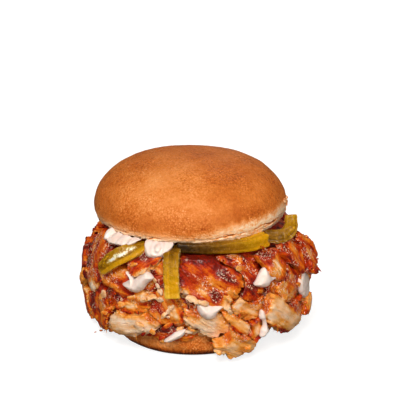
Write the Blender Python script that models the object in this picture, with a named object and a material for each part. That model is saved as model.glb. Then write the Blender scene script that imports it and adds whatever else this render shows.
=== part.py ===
"""Shawarma sandwich: a round bun, cut in two, piled with shaved grilled chicken, gherkin slices and white sauce.

Units are metres, +Z is up. The origin is on the bottom bun's flat base, straight below the middle of the top bun. The shown
side faces -Y and +X is to its right. Angles are in degrees round the Z axis, counted from +X, so 270 is the middle of the
shown side.
"""

import math
import random

import bmesh
import bpy
from mathutils import Vector

MM = 0.001

# ---------------------------------------------------------------- driving dimensions
BUN_RADIUS = 52.5 * MM  # the widest part of the top bun
BUN_WIDEST_Z = 70.0 * MM
BUN_TOP_Z = 98.0 * MM
BUN_RIM_RADIUS = 51.0 * MM
BUN_RIM_Z = 65.0 * MM
BUN_CUT_Z = 64.6 * MM  # the top bun's cut face
DOME_POWER = 2.18  # 2 is a plain ellipse, more is a fuller shoulder

HEEL_BASE_RADIUS = 40.0 * MM  # the flat spot that the sandwich stands on
HEEL_RADIUS = 46.0 * MM
HEEL_WIDEST_Z = 7.5 * MM
HEEL_CUT_RADIUS = 43.6 * MM
HEEL_CUT_Z = 17.0 * MM
HEEL_X, HEEL_Y = 2.0 * MM, -5.0 * MM  # the bottom bun's middle: it sits a little forward of the top one

HEAP_BOTTOM_Z = 17.3 * MM
HEAP_TOP_Z = 64.25 * MM
GAP = 0.4 * MM  # kept between pieces that touch
FLOOR_Z = 0.9 * MM  # the lowest that a drooping slice comes

BUN_SEGMENTS = 32
HEAP_SEGMENTS = 20
SLICE_SEGMENTS = 12
FLAT_ANGLE = 2.5  # facets that meet flatter than this become one

# ---------------------------------------------------------------- colours (linear), roughness
CRUST = ((0.56, 0.20, 0.055), 0.55)
HEEL_CRUST = ((0.40, 0.13, 0.035), 0.6)
MEAT_DARK = ((0.22, 0.045, 0.014), 0.4)
MEAT_RED = ((0.42, 0.085, 0.018), 0.35)
MEAT_GOLD = ((0.60, 0.24, 0.055), 0.42)
MEAT_PALE = ((0.72, 0.42, 0.20), 0.5)
GHERKIN = ((0.28, 0.19, 0.018), 0.25)
SAUCE = ((0.80, 0.70, 0.60), 0.3)

# ---------------------------------------------------------------- the shaved chicken
# Each slice: its middle as angle, height and distance from the axis (mm); its length along the fibres, width and thickness
# (mm); roll, the fibres' turn from level, up to the right being positive; tilt, how far its face looks up; its colour.
# A slice named earlier lies over one named later.
SHOWN_SLICES = [
    ("chicken_big_middle", 279, 47.5, 59.5, 36, 25, 6.5, -38, 8, MEAT_RED),
    ("chicken_left_glossy", 228, 42.5, 57.5, 27, 17, 5.0, -8, 5, MEAT_RED),
    ("chicken_left_folded", 209, 46.0, 55.8, 35, 23, 5.5, 78, 12, MEAT_DARK),
    ("chicken_upper_chip", 245, 55.5, 56.0, 25, 12, 5.0, 35, 25, MEAT_RED),
    ("chicken_char_line", 296, 48.0, 60.0, 32, 16, 6.0, -55, 5, MEAT_DARK),
    ("chicken_left_crumbly", 237, 32.5, 57.0, 28, 14, 6.0, 5, 0, MEAT_GOLD),
    ("chicken_mottled", 298, 33.5, 60.5, 22, 17, 6.0, -35, -3, MEAT_DARK),
    ("chicken_pale_ragged", 278.5, 25.0, 57.5, 24.5, 16, 5.5, -35, -8, MEAT_PALE),
    ("chicken_right_ridge_1", 312, 52.6, 62.2, 22, 14, 5.5, -62, 22, MEAT_RED),
    ("chicken_right_glossy", 321, 38.0, 63.5, 24, 18, 7.0, -48, 0, MEAT_DARK),
    ("chicken_right_ridge_2", 324, 54.0, 64.0, 27, 14, 5.5, -60, 22, MEAT_RED),
    ("chicken_right_outer", 334, 51.0, 68.0, 30, 15, 5.5, -54, 22, MEAT_DARK),
    ("chicken_left_centre", 256.5, 31.0, 55.5, 21, 17, 6.0, -60, 0, MEAT_RED),
    ("chicken_pale_chunk", 238.5, 20.2, 57.0, 33, 15, 8.0, 14, -2, MEAT_PALE),
    ("chicken_tan_chunk", 319, 22.5, 63.5, 35, 19, 9.0, -36, -3, MEAT_PALE),
    ("chicken_pale_strip", 292, 24.0, 60.5, 25, 8, 4.5, -42, 0, MEAT_PALE),
    ("chicken_lower_ridge", 301, 21.5, 61.0, 20, 11, 7.0, -68, -8, MEAT_GOLD),
    ("chicken_left_spiked", 214, 23.0, 57.2, 28, 20, 6.0, 78, -6, MEAT_DARK),
    ("chicken_under_sauce", 249, 40.0, 55.5, 23, 13, 5.0, 35, 0, MEAT_DARK),
    ("chicken_behind_gherkin", 254, 49.0, 54.5, 21, 16, 5.0, -50, 5, MEAT_PALE),
    ("chicken_right_strip", 329, 23.0, 64.5, 23, 11, 6.0, -50, -6, MEAT_RED),
    ("chicken_right_recess", 311, 36.0, 60.0, 18, 14, 6.0, -40, 0, MEAT_DARK),
    ("chicken_low_golden", 290.6, 14.6, 61.0, 29, 17, 8.5, -33, -15, MEAT_GOLD),
    ("chicken_recess", 265, 30.0, 53.0, 24, 16, 5.0, -75, 0, MEAT_DARK),
    ("chicken_low_bits", 254, 16.5, 51.5, 30, 11, 6.5, -5, -12, MEAT_GOLD),
    ("chicken_right_pale", 334, 41.0, 65.5, 15, 11, 5.5, -30, 0, MEAT_PALE),
    ("chicken_right_nub", 341, 18.5, 65.5, 14, 10, 6.5, 80, 0, MEAT_GOLD),
    ("chicken_left_nub", 191, 31.0, 59.2, 9, 7, 5.0, 60, 0, MEAT_GOLD),
]
FAR_SLICES = [
    ("chicken_far_1", 356, 38.0, 63.5, 30, 22, 6.5, -40, 4, MEAT_RED),
    ("chicken_far_2", 26, 44.5, 59.5, 36, 24, 6.0, 32, 12, MEAT_DARK),
    ("chicken_far_3", 57, 46.0, 57.0, 35, 25, 6.5, -28, 10, MEAT_GOLD),
    ("chicken_far_4", 90, 46.0, 54.2, 37, 24, 6.0, 40, 12, MEAT_RED),
    ("chicken_far_5", 122, 46.0, 55.5, 35, 25, 6.5, -45, 10, MEAT_DARK),
    ("chicken_far_6", 154, 38.5, 56.0, 35, 22, 6.0, 25, 10, MEAT_GOLD),
    ("chicken_far_7", 182, 36.5, 57.0, 26, 22, 6.0, 70, 6, MEAT_RED),
    ("chicken_far_8", 8, 20.0, 62.0, 34, 20, 8.0, 20, -8, MEAT_PALE),
    ("chicken_far_9", 42, 21.5, 58.5, 35, 22, 8.0, -35, -9, MEAT_RED),
    ("chicken_far_10", 77, 22.5, 56.5, 36, 23, 7.5, 15, -8, MEAT_GOLD),
    ("chicken_far_11", 112, 21.5, 56.0, 35, 22, 8.0, 45, -9, MEAT_DARK),
    ("chicken_far_12", 150, 22.0, 56.5, 37, 23, 8.0, -20, -8, MEAT_PALE),
    ("chicken_far_13", 184, 17.5, 56.5, 26, 17, 6.5, -70, -6, MEAT_GOLD),
]

# ---------------------------------------------------------------- the gherkins
# Each strip: the points of its middle line as angle, height and distance from the axis (mm), its half width at the start,
# the middle and the end, and its half thickness (mm).
GHERKINS = [
    ("gherkin_left", [(244.0, 60.4, 45), (242.0, 60.9, 51.0), (238.6, 59.9, 56.4), (235.2, 58.2, 59.7), (231.7, 55.8, 61.5), (227.0, 51.6, 61.9), (221.3, 46.5, 61.6)], 3.0, 4.4, 3.3, 1.9),
    ("gherkin_hanging", [(260.2, 60.5, 46), (260.2, 61.2, 52), (260.5, 59.6, 58), (261, 54.5, 62.2), (261.4, 47.5, 63.8), (261.8, 39.8, 64.4)], 4.3, 4.0, 3.8, 1.9),
    ("gherkin_rim", [(262, 62.4, 49.8), (272, 62.4, 50.6), (283, 62.2, 51.4), (294, 61.8, 52.2), (305, 61.3, 53.0), (317.5, 61.7, 53.8)], 2.6, 3.0, 3.7, 3.5),
    ("gherkin_curled", [(315.6, 63.8, 53.5), (317.2, 63.8, 57.2), (319.7, 64.1, 60.5), (323.0, 65.0, 62.3), (325.4, 67.6, 63.0), (326.3, 71.0, 62.8), (327.1, 74.0, 62.0)], 3.0, 3.6, 2.9, 1.8),
    ("gherkin_far", [(97, 60.2, 44), (97, 60.4, 49), (96, 58.2, 53.4), (94.5, 53.2, 56.8), (93.5, 47.0, 57.9), (93, 40.0, 58.0)], 4.0, 4.3, 3.9, 2.2),
]
CURLED_FACING = Vector((0.30, -0.86, 0.41)).normalized()  # the way that the curled strip's broad face looks
GHERKIN_SAMPLES = 9
GHERKIN_SIDES = 10

# ---------------------------------------------------------------- the white sauce
# Each dollop: its middle as angle, height and distance from the axis (mm), its width, height and thickness (mm), its roll, and
# the arms of its outline, each as direction, reach beyond the oval (as a part of it) and narrowness.
SAUCES = [
    ("sauce_middle", 278.8, 33.0, 61.8, 17, 10, 7.5, 6, [(22, 0.6, 12), (160, 0.2, 6)]),
    ("sauce_left", 245.5, 45.2, 60.6, 15.5, 11, 7.0, 10, [(170, 0.35, 12), (25, 0.2, 6)]),
    ("sauce_left_rim", 230.0, 61.4, 54.6, 21, 9.0, 9.6, -8, [(185, 0.25, 8), (-20, 0.2, 8)]),
    ("sauce_round", 253.0, 60.0, 54.4, 15, 13, 11.0, 0, []),
    ("sauce_pointed", 306.0, 45.2, 64.8, 12, 11, 6.5, 0, [(100, 0.55, 14), (20, 0.65, 14), (215, 0.2, 6)]),
    ("sauce_right_smear", 331.5, 32.5, 66.6, 9, 15, 3.6, 0, [(90, 0.15, 8)]),
    ("sauce_low_right", 304.9, 20.8, 65.0, 5.2, 15, 5.0, 8, [(270, 0.15, 8)]),
    ("sauce_low_left", 260.8, 16.2, 56.0, 13, 6, 5.0, 34, [(200, 0.2, 8)]),
    ("sauce_far_1", 68, 57.5, 58.0, 18, 9, 7.5, 0, [(200, 0.3, 10), (-30, 0.25, 8)]),
    ("sauce_far_2", 134, 38.0, 60.5, 15, 11, 6.5, 12, [(30, 0.4, 12)]),
]


# ---------------------------------------------------------------- helpers
def clear_scene():
    for obj in list(bpy.data.objects):
        bpy.data.objects.remove(obj, do_unlink=True)


def make_material(name, look):
    colour, roughness = look
    material = bpy.data.materials.new(name)
    material.use_nodes = True
    shader = material.node_tree.nodes["Principled BSDF"]
    shader.inputs["Base Color"].default_value = (*colour, 1.0)
    shader.inputs["Roughness"].default_value = roughness
    shader.inputs["Metallic"].default_value = 0.0
    return material


def add_object(name, bm, look=None):
    """Makes the object of a bmesh, with its faces pointing out and its round faces smooth."""
    bmesh.ops.recalc_face_normals(bm, faces=bm.faces)
    if bm.calc_volume(signed=True) < 0:
        bmesh.ops.reverse_faces(bm, faces=bm.faces)
    mesh = bpy.data.meshes.new(name)
    bm.to_mesh(mesh)
    bm.free()
    obj = bpy.data.objects.new(name, mesh)
    bpy.context.scene.collection.objects.link(obj)
    if look:
        mesh.materials.append(make_material(name + "_material", look))
        mesh.shade_smooth()
        mesh.set_sharp_from_angle(angle=math.radians(50))
    return obj


def above_floor(z):
    """Bends what would go through the floor to lie on it."""
    soft = 1.3 * MM
    if z > 12 * MM:
        return z
    return FLOOR_Z + soft * math.log1p(math.exp((z - FLOOR_Z) / soft))


def waves(seed, count):
    """Even waves for an uneven edge: each is a number of waves, a size and a start."""
    rng = random.Random(seed)
    return [(n, rng.uniform(0.4, 1.0) / math.sqrt(n), rng.uniform(0, math.tau)) for n in range(2, 2 + count)]


def wavy(table, angle):
    return sum(size * math.sin(n * angle + start) for n, size, start in table)


def heap_frame(angle, height, distance, roll, tilt):
    """The middle of a piece on the heap, and its along, across and outward directions."""
    a, t, r = math.radians(angle), math.radians(tilt), math.radians(roll)
    out = Vector((math.cos(a), math.sin(a), 0.0))
    level = Vector((-math.sin(a), math.cos(a), 0.0))
    up = Vector((0.0, 0.0, 1.0))
    normal = out * math.cos(t) + up * math.sin(t)
    rise = up * math.cos(t) - out * math.sin(t)
    along = level * math.cos(r) + rise * math.sin(r)
    across = rise * math.cos(r) - level * math.sin(r)
    centre = out * distance * MM + up * height * MM
    return centre, along, across, normal, r


# ---------------------------------------------------------------- the bun
def turned(name, profile, segments, look, sway, seed, middle=(0.0, 0.0)):
    """A solid turned round an upright axis from a profile that starts and ends on it; sway makes it a little out of round."""
    bm = bmesh.new()
    points = [bm.verts.new((x, 0.0, z)) for x, z in profile]
    edges = [bm.edges.new(pair) for pair in zip(points, points[1:])]
    bmesh.ops.spin(bm, geom=points + edges, cent=(0, 0, 0), axis=(0, 0, 1), angle=math.tau, steps=segments, use_merge=True)
    bmesh.ops.remove_doubles(bm, verts=bm.verts, dist=0.00001)
    table = waves(seed, 4)
    for v in bm.verts:
        if math.hypot(v.co.x, v.co.y) > 1e-6 and v.co.z > 1e-6:
            grow = 1.0 + sway * wavy(table, math.atan2(v.co.y, v.co.x))
            v.co.x *= grow
            v.co.y *= grow
    bmesh.ops.translate(bm, verts=bm.verts, vec=(middle[0], middle[1], 0.0))
    return add_object(name, bm, look)


def bun_profile(grow=0.0):
    """The top bun's half outline: domed above its widest line, drawn in to the rim below it, with a flat cut face."""
    r, top = BUN_RADIUS + grow, BUN_TOP_Z + grow - BUN_WIDEST_Z
    profile = [(0.0, BUN_TOP_Z + grow)]
    for i in range(1, 9):
        t = math.radians(90 * i / 8)
        profile.append((r * math.sin(t) ** (2 / DOME_POWER), BUN_WIDEST_Z + top * math.cos(t) ** (2 / DOME_POWER)))
    profile[-1] = (r, BUN_WIDEST_Z)
    profile.append((BUN_RADIUS - 0.5 * MM + grow, BUN_WIDEST_Z - 2.6 * MM))
    profile.append((BUN_RIM_RADIUS + grow, BUN_RIM_Z - grow))
    profile.append((BUN_RIM_RADIUS - 1.6 * MM + grow, BUN_CUT_Z - grow))
    profile.append((0.0, BUN_CUT_Z - grow))
    return profile


def heel_profile(grow=0.0):
    """The bottom bun's half outline: a flat base, a round side and a flat cut face."""
    return [
        (0.0, HEEL_CUT_Z + grow),
        (HEEL_CUT_RADIUS + grow, HEEL_CUT_Z + grow),
        (HEEL_RADIUS - 0.9 * MM + grow, HEEL_CUT_Z - 2.2 * MM + grow),
        (HEEL_RADIUS + grow, HEEL_WIDEST_Z + 3.0 * MM),
        (HEEL_RADIUS + grow, HEEL_WIDEST_Z - 1.5 * MM),
        (HEEL_RADIUS - 1.5 * MM + grow, 2.4 * MM),
        (HEEL_BASE_RADIUS + grow, 0.0),
        (0.0, 0.0),
    ]


# ---------------------------------------------------------------- the heap's middle
# How far it reaches out, by angle (degrees, mm), behind the slices that lie farther from the axis.
REACH = [
    (0, 4.2), (8, 3.0), (26, 1.5), (45, 0.0), (240, 0.0), (260, 1.0), (279, 2.0), (296, 3.5), (304, 4.5), (311, 5.0),
    (321, 5.5), (334, 7.5), (345, 7.0), (356, 5.0), (360, 4.2),
]


def heap_reach(a):
    """The reach at angle a (radians)."""
    degrees = math.degrees(a) % 360
    for (a0, r0), (a1, r1) in zip(REACH, REACH[1:]):
        if degrees <= a1:
            return (r0 + (r1 - r0) * (degrees - a0) / (a1 - a0)) * MM
    return REACH[-1][1] * MM


def heap_core(name, look):
    """The meat behind the outer slices, out to an uneven side."""
    levels = [(17.3, 0.90), (19.5, 0.965), (28.0, 1.0), (38.0, 1.0), (48.0, 0.985), (56.0, 0.93), (61.5, 0.86), (64.25, 0.80)]
    profile = [(0.0, HEAP_TOP_Z)] + [(p * 53.0 * MM, z * MM) for z, p in reversed(levels)] + [(0.0, HEAP_BOTTOM_Z)]
    bm = bmesh.new()
    points = [bm.verts.new((x, 0.0, z)) for x, z in profile]
    edges = [bm.edges.new(pair) for pair in zip(points, points[1:])]
    bmesh.ops.spin(
        bm, geom=points + edges, cent=(0, 0, 0), axis=(0, 0, 1), angle=math.tau, steps=HEAP_SEGMENTS, use_merge=True
    )
    bmesh.ops.remove_doubles(bm, verts=bm.verts, dist=0.00001)
    low, high = waves(31, 6), waves(32, 6)
    for v in bm.verts:
        r = math.hypot(v.co.x, v.co.y)
        if r < 1e-6:
            continue
        a = math.atan2(v.co.y, v.co.x)
        side = min(1.0, max(0.0, (v.co.z - HEAP_BOTTOM_Z) / (8 * MM)))
        mix = (v.co.z - HEAP_BOTTOM_Z) / (HEAP_TOP_Z - HEAP_BOTTOM_Z)
        bulge = 2.2 * MM * math.cos(a) + 0.9 * MM * ((1 - mix) * wavy(low, a) + mix * wavy(high, a))
        bulge += heap_reach(a) * min(1.0, max(0.0, (58.5 * MM - v.co.z) / (7 * MM)))
        v.co.x *= 1 + side * bulge / r
        v.co.y *= 1 + side * bulge / r
    return add_object(name, bm, look)


# ---------------------------------------------------------------- slices, gherkins and sauce
def slice_mesh(spec, seed, grow=0.0):
    """A shaved slice: a rounded slab with an uneven outline and thin edges, bent round the heap."""
    angle, height, distance, length, width, thick, roll, tilt = spec[1:9]
    centre, along, across, normal, r = heap_frame(angle, height, distance, roll, tilt)
    table = waves(seed, 5)
    bend_level, bend_rise = 1 / (62 * MM), 1 / (75 * MM)
    bm = bmesh.new()
    bmesh.ops.create_uvsphere(bm, u_segments=SLICE_SEGMENTS, v_segments=4, radius=1.0)
    bmesh.ops.triangulate(bm, faces=bm.faces)
    for v in bm.verts:
        s, a = math.hypot(v.co.x, v.co.y), math.atan2(v.co.y, v.co.x)
        half_l = length * MM / 2
        half_w = width * MM / 2
        rho = (abs(math.cos(a) / half_l) ** 2.7 + abs(math.sin(a) / half_w) ** 2.7) ** (-1 / 2.7)
        rho = rho * (1 + 0.085 * wavy(table, a)) + grow
        u, w = rho * math.cos(a) * s, rho * math.sin(a) * s
        side = v.co.z / math.sqrt(max(1e-9, s * s + v.co.z * v.co.z))
        t = math.copysign(abs(side) ** 0.55, side) * (thick * MM / 2 + grow) if abs(side) > 1e-6 else 0.0
        level, rise = u * math.cos(r) - w * math.sin(r), u * math.sin(r) + w * math.cos(r)
        mid = -0.5 * bend_level * level * level - 0.5 * bend_rise * rise * rise
        mid += 0.5 * MM * math.sin(w / (3.0 * MM) + seed)
        v.co = centre + along * u + across * w + normal * (mid + t)
        v.co.z = above_floor(v.co.z)
    return bm


def gherkin_mesh(spec, grow=0.0):
    """A strip of gherkin with rounded sides, swept along a smooth line that comes out from under the bun."""
    points = [
        Vector((d * MM * math.cos(math.radians(a)), d * MM * math.sin(math.radians(a)), z * MM)) for a, z, d in spec[1]
    ]
    start, middle, end, thick = (x * MM for x in spec[2:6])

    def at(t):
        x = t * (len(points) - 1)
        i = min(int(x), len(points) - 2)
        f = x - i
        p0, p1, p2, p3 = (points[min(max(j, 0), len(points) - 1)] for j in (i - 1, i, i + 1, i + 2))
        return 0.5 * (2 * p1 + (p2 - p0) * f + (2 * p0 - 5 * p1 + 4 * p2 - p3) * f * f + (3 * p1 - p0 - 3 * p2 + p3) * f**3)

    bm = bmesh.new()
    loops = []
    stations = [i / (GHERKIN_SAMPLES - 1) for i in range(GHERKIN_SAMPLES)]
    for i, t in enumerate(stations):
        p, tangent = at(t), (at(min(t + 0.02, 1)) - at(max(t - 0.02, 0))).normalized()
        out = Vector((p.x, p.y, 0.0)).normalized()
        lie = 0.0 if spec[0] == "gherkin_rim" else max(0.0, 1.0 - t / 0.55)
        facing = (out * (1 - lie) + Vector((0.0, 0.0, 1.0)) * lie).normalized()
        if spec[0] == "gherkin_curled":
            facing = CURLED_FACING
        across = facing.cross(tangent).normalized()
        normal = tangent.cross(across)
        tip = 0.72 if i in (0, GHERKIN_SAMPLES - 1) else 1.0
        shift = tangent * (grow * (-1 if i == 0 else 1 if i == GHERKIN_SAMPLES - 1 else 0))
        half = (start * (1 - t) * (1 - 2 * t) + middle * 4 * t * (1 - t) + end * t * (2 * t - 1)) * tip + grow
        depth = thick * (0.8 if tip < 1 else 1.0) + grow
        loop = []
        for k in range(GHERKIN_SIDES):
            a = math.tau * (k + 0.5) / GHERKIN_SIDES
            c, s = math.cos(a), math.sin(a)
            x, y = math.copysign(abs(c) ** 0.7, c), math.copysign(abs(s) ** 0.7, s)
            loop.append(bm.verts.new(p + shift + across * x * half + normal * y * depth))
        loops.append(loop)
    for one, two in zip(loops, loops[1:]):
        for k in range(GHERKIN_SIDES):
            n = (k + 1) % GHERKIN_SIDES
            bm.faces.new((one[k], one[n], two[n]))
            bm.faces.new((one[k], two[n], two[k]))
    bm.faces.new(list(reversed(loops[0])))
    bm.faces.new(loops[-1])
    return bm


def sauce_mesh(spec, grow=0.0):
    """A dollop of sauce: a rounded blob whose outline has arms."""
    _, angle, height, distance, width, tall, thick, roll, arms = spec
    centre, along, across, normal, r = heap_frame(angle, height, distance, roll, 0)
    bm = bmesh.new()
    bmesh.ops.create_uvsphere(bm, u_segments=12, v_segments=5, radius=1.0)
    bmesh.ops.triangulate(bm, faces=bm.faces)
    for v in bm.verts:
        s, a = math.hypot(v.co.x, v.co.y), math.atan2(v.co.y, v.co.x)
        rho = ((math.cos(a) / (width * MM / 2)) ** 2 + (math.sin(a) / (tall * MM / 2)) ** 2) ** -0.5
        for direction, reach, narrow in arms:
            rho *= 1 + reach * math.exp(narrow * (math.cos(a - math.radians(direction)) - 1))
        u, w = (rho + grow) * math.cos(a) * s, (rho + grow) * math.sin(a) * s
        level = u * math.cos(r) - w * math.sin(r)
        mid = -0.5 * level * level / (60 * MM)
        v.co = centre + along * u + across * w + normal * (mid + v.co.z * (thick * MM / 2 + grow))
        v.co.z = above_floor(v.co.z)
    return bm


# ---------------------------------------------------------------- cutting the pieces clear of each other
def reach(obj):
    corners = [v.co for v in obj.data.vertices]
    return [min(c[k] for c in corners) for k in range(3)], [max(c[k] for c in corners) for k in range(3)]


def near(a, b):
    (a0, a1), (b0, b1) = reach(a), reach(b)
    return all(a0[k] < b1[k] and b0[k] < a1[k] for k in range(3))


def keep_largest(obj):
    """Keeps the biggest of the bodies that a cut has left."""
    bm = bmesh.new()
    bm.from_mesh(obj.data)
    bmesh.ops.triangulate(bm, faces=bm.faces)
    bmesh.ops.dissolve_degenerate(bm, dist=0.00002, edges=bm.edges)
    bmesh.ops.triangulate(bm, faces=bm.faces)
    bm.faces.ensure_lookup_table()
    left, groups = set(bm.faces), []
    while left:
        stack, group = [left.pop()], []
        while stack:
            face = stack.pop()
            group.append(face)
            for edge in face.edges:
                for other in edge.link_faces:
                    if other in left:
                        left.remove(other)
                        stack.append(other)
        groups.append(group)

    def volume(group):
        return abs(sum(f.verts[0].co.dot(f.verts[1].co.cross(f.verts[2].co)) / 6 for f in group))

    groups.sort(key=volume, reverse=True)
    extra = [f for g in groups[1:] for f in g]
    if extra:
        bmesh.ops.delete(bm, geom=extra, context="FACES")
    loose = [v for v in bm.verts if not v.link_faces]
    if loose:
        bmesh.ops.delete(bm, geom=loose, context="VERTS")
    bm.to_mesh(obj.data)
    bm.free()


def thin_out(obj):
    """Joins the nearly flat facets that the cuts have left."""
    bm = bmesh.new()
    bm.from_mesh(obj.data)
    bmesh.ops.dissolve_limit(bm, angle_limit=math.radians(FLAT_ANGLE), verts=bm.verts, edges=bm.edges)
    bmesh.ops.triangulate(bm, faces=bm.faces)
    bm.to_mesh(obj.data)
    bm.free()


def carve(obj, cutters):
    """Cuts obj clear of each of the cutters that comes near it."""
    for cutter in cutters:
        if not near(obj, cutter):
            continue
        cut = obj.modifiers.new("clearance", "BOOLEAN")
        cut.operation = "DIFFERENCE"
        cut.solver = "EXACT"
        cut.object = cutter
        graph = bpy.context.evaluated_depsgraph_get()
        mesh = bpy.data.meshes.new_from_object(obj.evaluated_get(graph), depsgraph=graph)
        obj.modifiers.clear()
        if len(mesh.polygons) > 3:
            old = obj.data
            obj.data = mesh
            bpy.data.meshes.remove(old)
            keep_largest(obj)
        else:
            bpy.data.meshes.remove(mesh)
    thin_out(obj)


def finish(obj, look):
    obj.data.materials.clear()
    obj.data.materials.append(make_material(obj.name + "_material", look))
    obj.data.shade_smooth()
    obj.data.set_sharp_from_angle(angle=math.radians(50))


# ---------------------------------------------------------------- the model
def main():
    clear_scene()
    turned("bun_top", bun_profile(), BUN_SEGMENTS, CRUST, 0.0035, 5)
    turned("bun_bottom", heel_profile(), BUN_SEGMENTS, HEEL_CRUST, 0.004, 6, (HEEL_X, HEEL_Y))
    bun_space = turned("space_bun", bun_profile(0.9 * MM), 48, None, 0.0, 5)
    heel_space = turned("space_heel", heel_profile(0.8 * MM), 48, None, 0.0, 6, (HEEL_X, HEEL_Y))
    spaces = [bun_space, heel_space]

    over = [bun_space, heel_space]
    gherkins = []
    for spec in GHERKINS:
        obj = add_object(spec[0], gherkin_mesh(spec))
        carve(obj, over)
        finish(obj, GHERKIN)
        gherkins.append(add_object("space_" + spec[0], gherkin_mesh(spec, GAP)))
        over.append(gherkins[-1])
    spaces += gherkins

    for seed, spec in enumerate(SHOWN_SLICES + FAR_SLICES, 101):
        obj = add_object(spec[0], slice_mesh(spec, seed))
        carve(obj, over)
        finish(obj, spec[9])
        over.append(add_object("space_" + spec[0], slice_mesh(spec, seed, GAP)))
        spaces.append(over[-1])

    for spec in SAUCES:
        obj = add_object(spec[0], sauce_mesh(spec))
        carve(obj, over)
        finish(obj, SAUCE)
        over.append(add_object("space_" + spec[0], sauce_mesh(spec, GAP)))
        spaces.append(over[-1])

    core = heap_core("chicken_middle", MEAT_DARK)
    carve(core, over)
    finish(core, MEAT_DARK)

    for obj in spaces:
        bpy.data.objects.remove(obj, do_unlink=True)


main()
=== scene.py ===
import math
import random

import bpy
import numpy as np
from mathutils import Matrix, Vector


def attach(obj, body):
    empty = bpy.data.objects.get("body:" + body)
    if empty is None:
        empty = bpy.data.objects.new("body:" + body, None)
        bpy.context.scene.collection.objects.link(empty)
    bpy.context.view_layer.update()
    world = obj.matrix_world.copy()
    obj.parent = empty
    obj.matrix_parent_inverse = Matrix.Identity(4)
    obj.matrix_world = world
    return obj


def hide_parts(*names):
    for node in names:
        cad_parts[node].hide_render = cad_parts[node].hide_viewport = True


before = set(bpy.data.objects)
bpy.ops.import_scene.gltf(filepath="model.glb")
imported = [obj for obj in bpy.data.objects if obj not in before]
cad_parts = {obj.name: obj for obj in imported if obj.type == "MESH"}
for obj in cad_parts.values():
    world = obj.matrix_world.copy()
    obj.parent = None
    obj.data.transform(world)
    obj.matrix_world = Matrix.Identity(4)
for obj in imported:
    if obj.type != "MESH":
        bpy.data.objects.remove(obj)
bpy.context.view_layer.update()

MM = 0.001

# ================================================================= sizes shared with the solids (mm)
BUN_RADIUS, BUN_WIDEST_Z, BUN_TOP_Z = 52.5, 70.0, 98.0
BUN_RIM_RADIUS, BUN_RIM_Z, BUN_CUT_Z, DOME_POWER = 51.0, 65.0, 64.6, 2.18
HEEL_BASE_RADIUS, HEEL_RADIUS, HEEL_WIDEST_Z, HEEL_CUT_RADIUS, HEEL_CUT_Z = 40.0, 46.0, 7.5, 43.6, 17.0
HEEL_X, HEEL_Y = 2.0, -5.0
FLOOR_Z = 0.9

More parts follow.
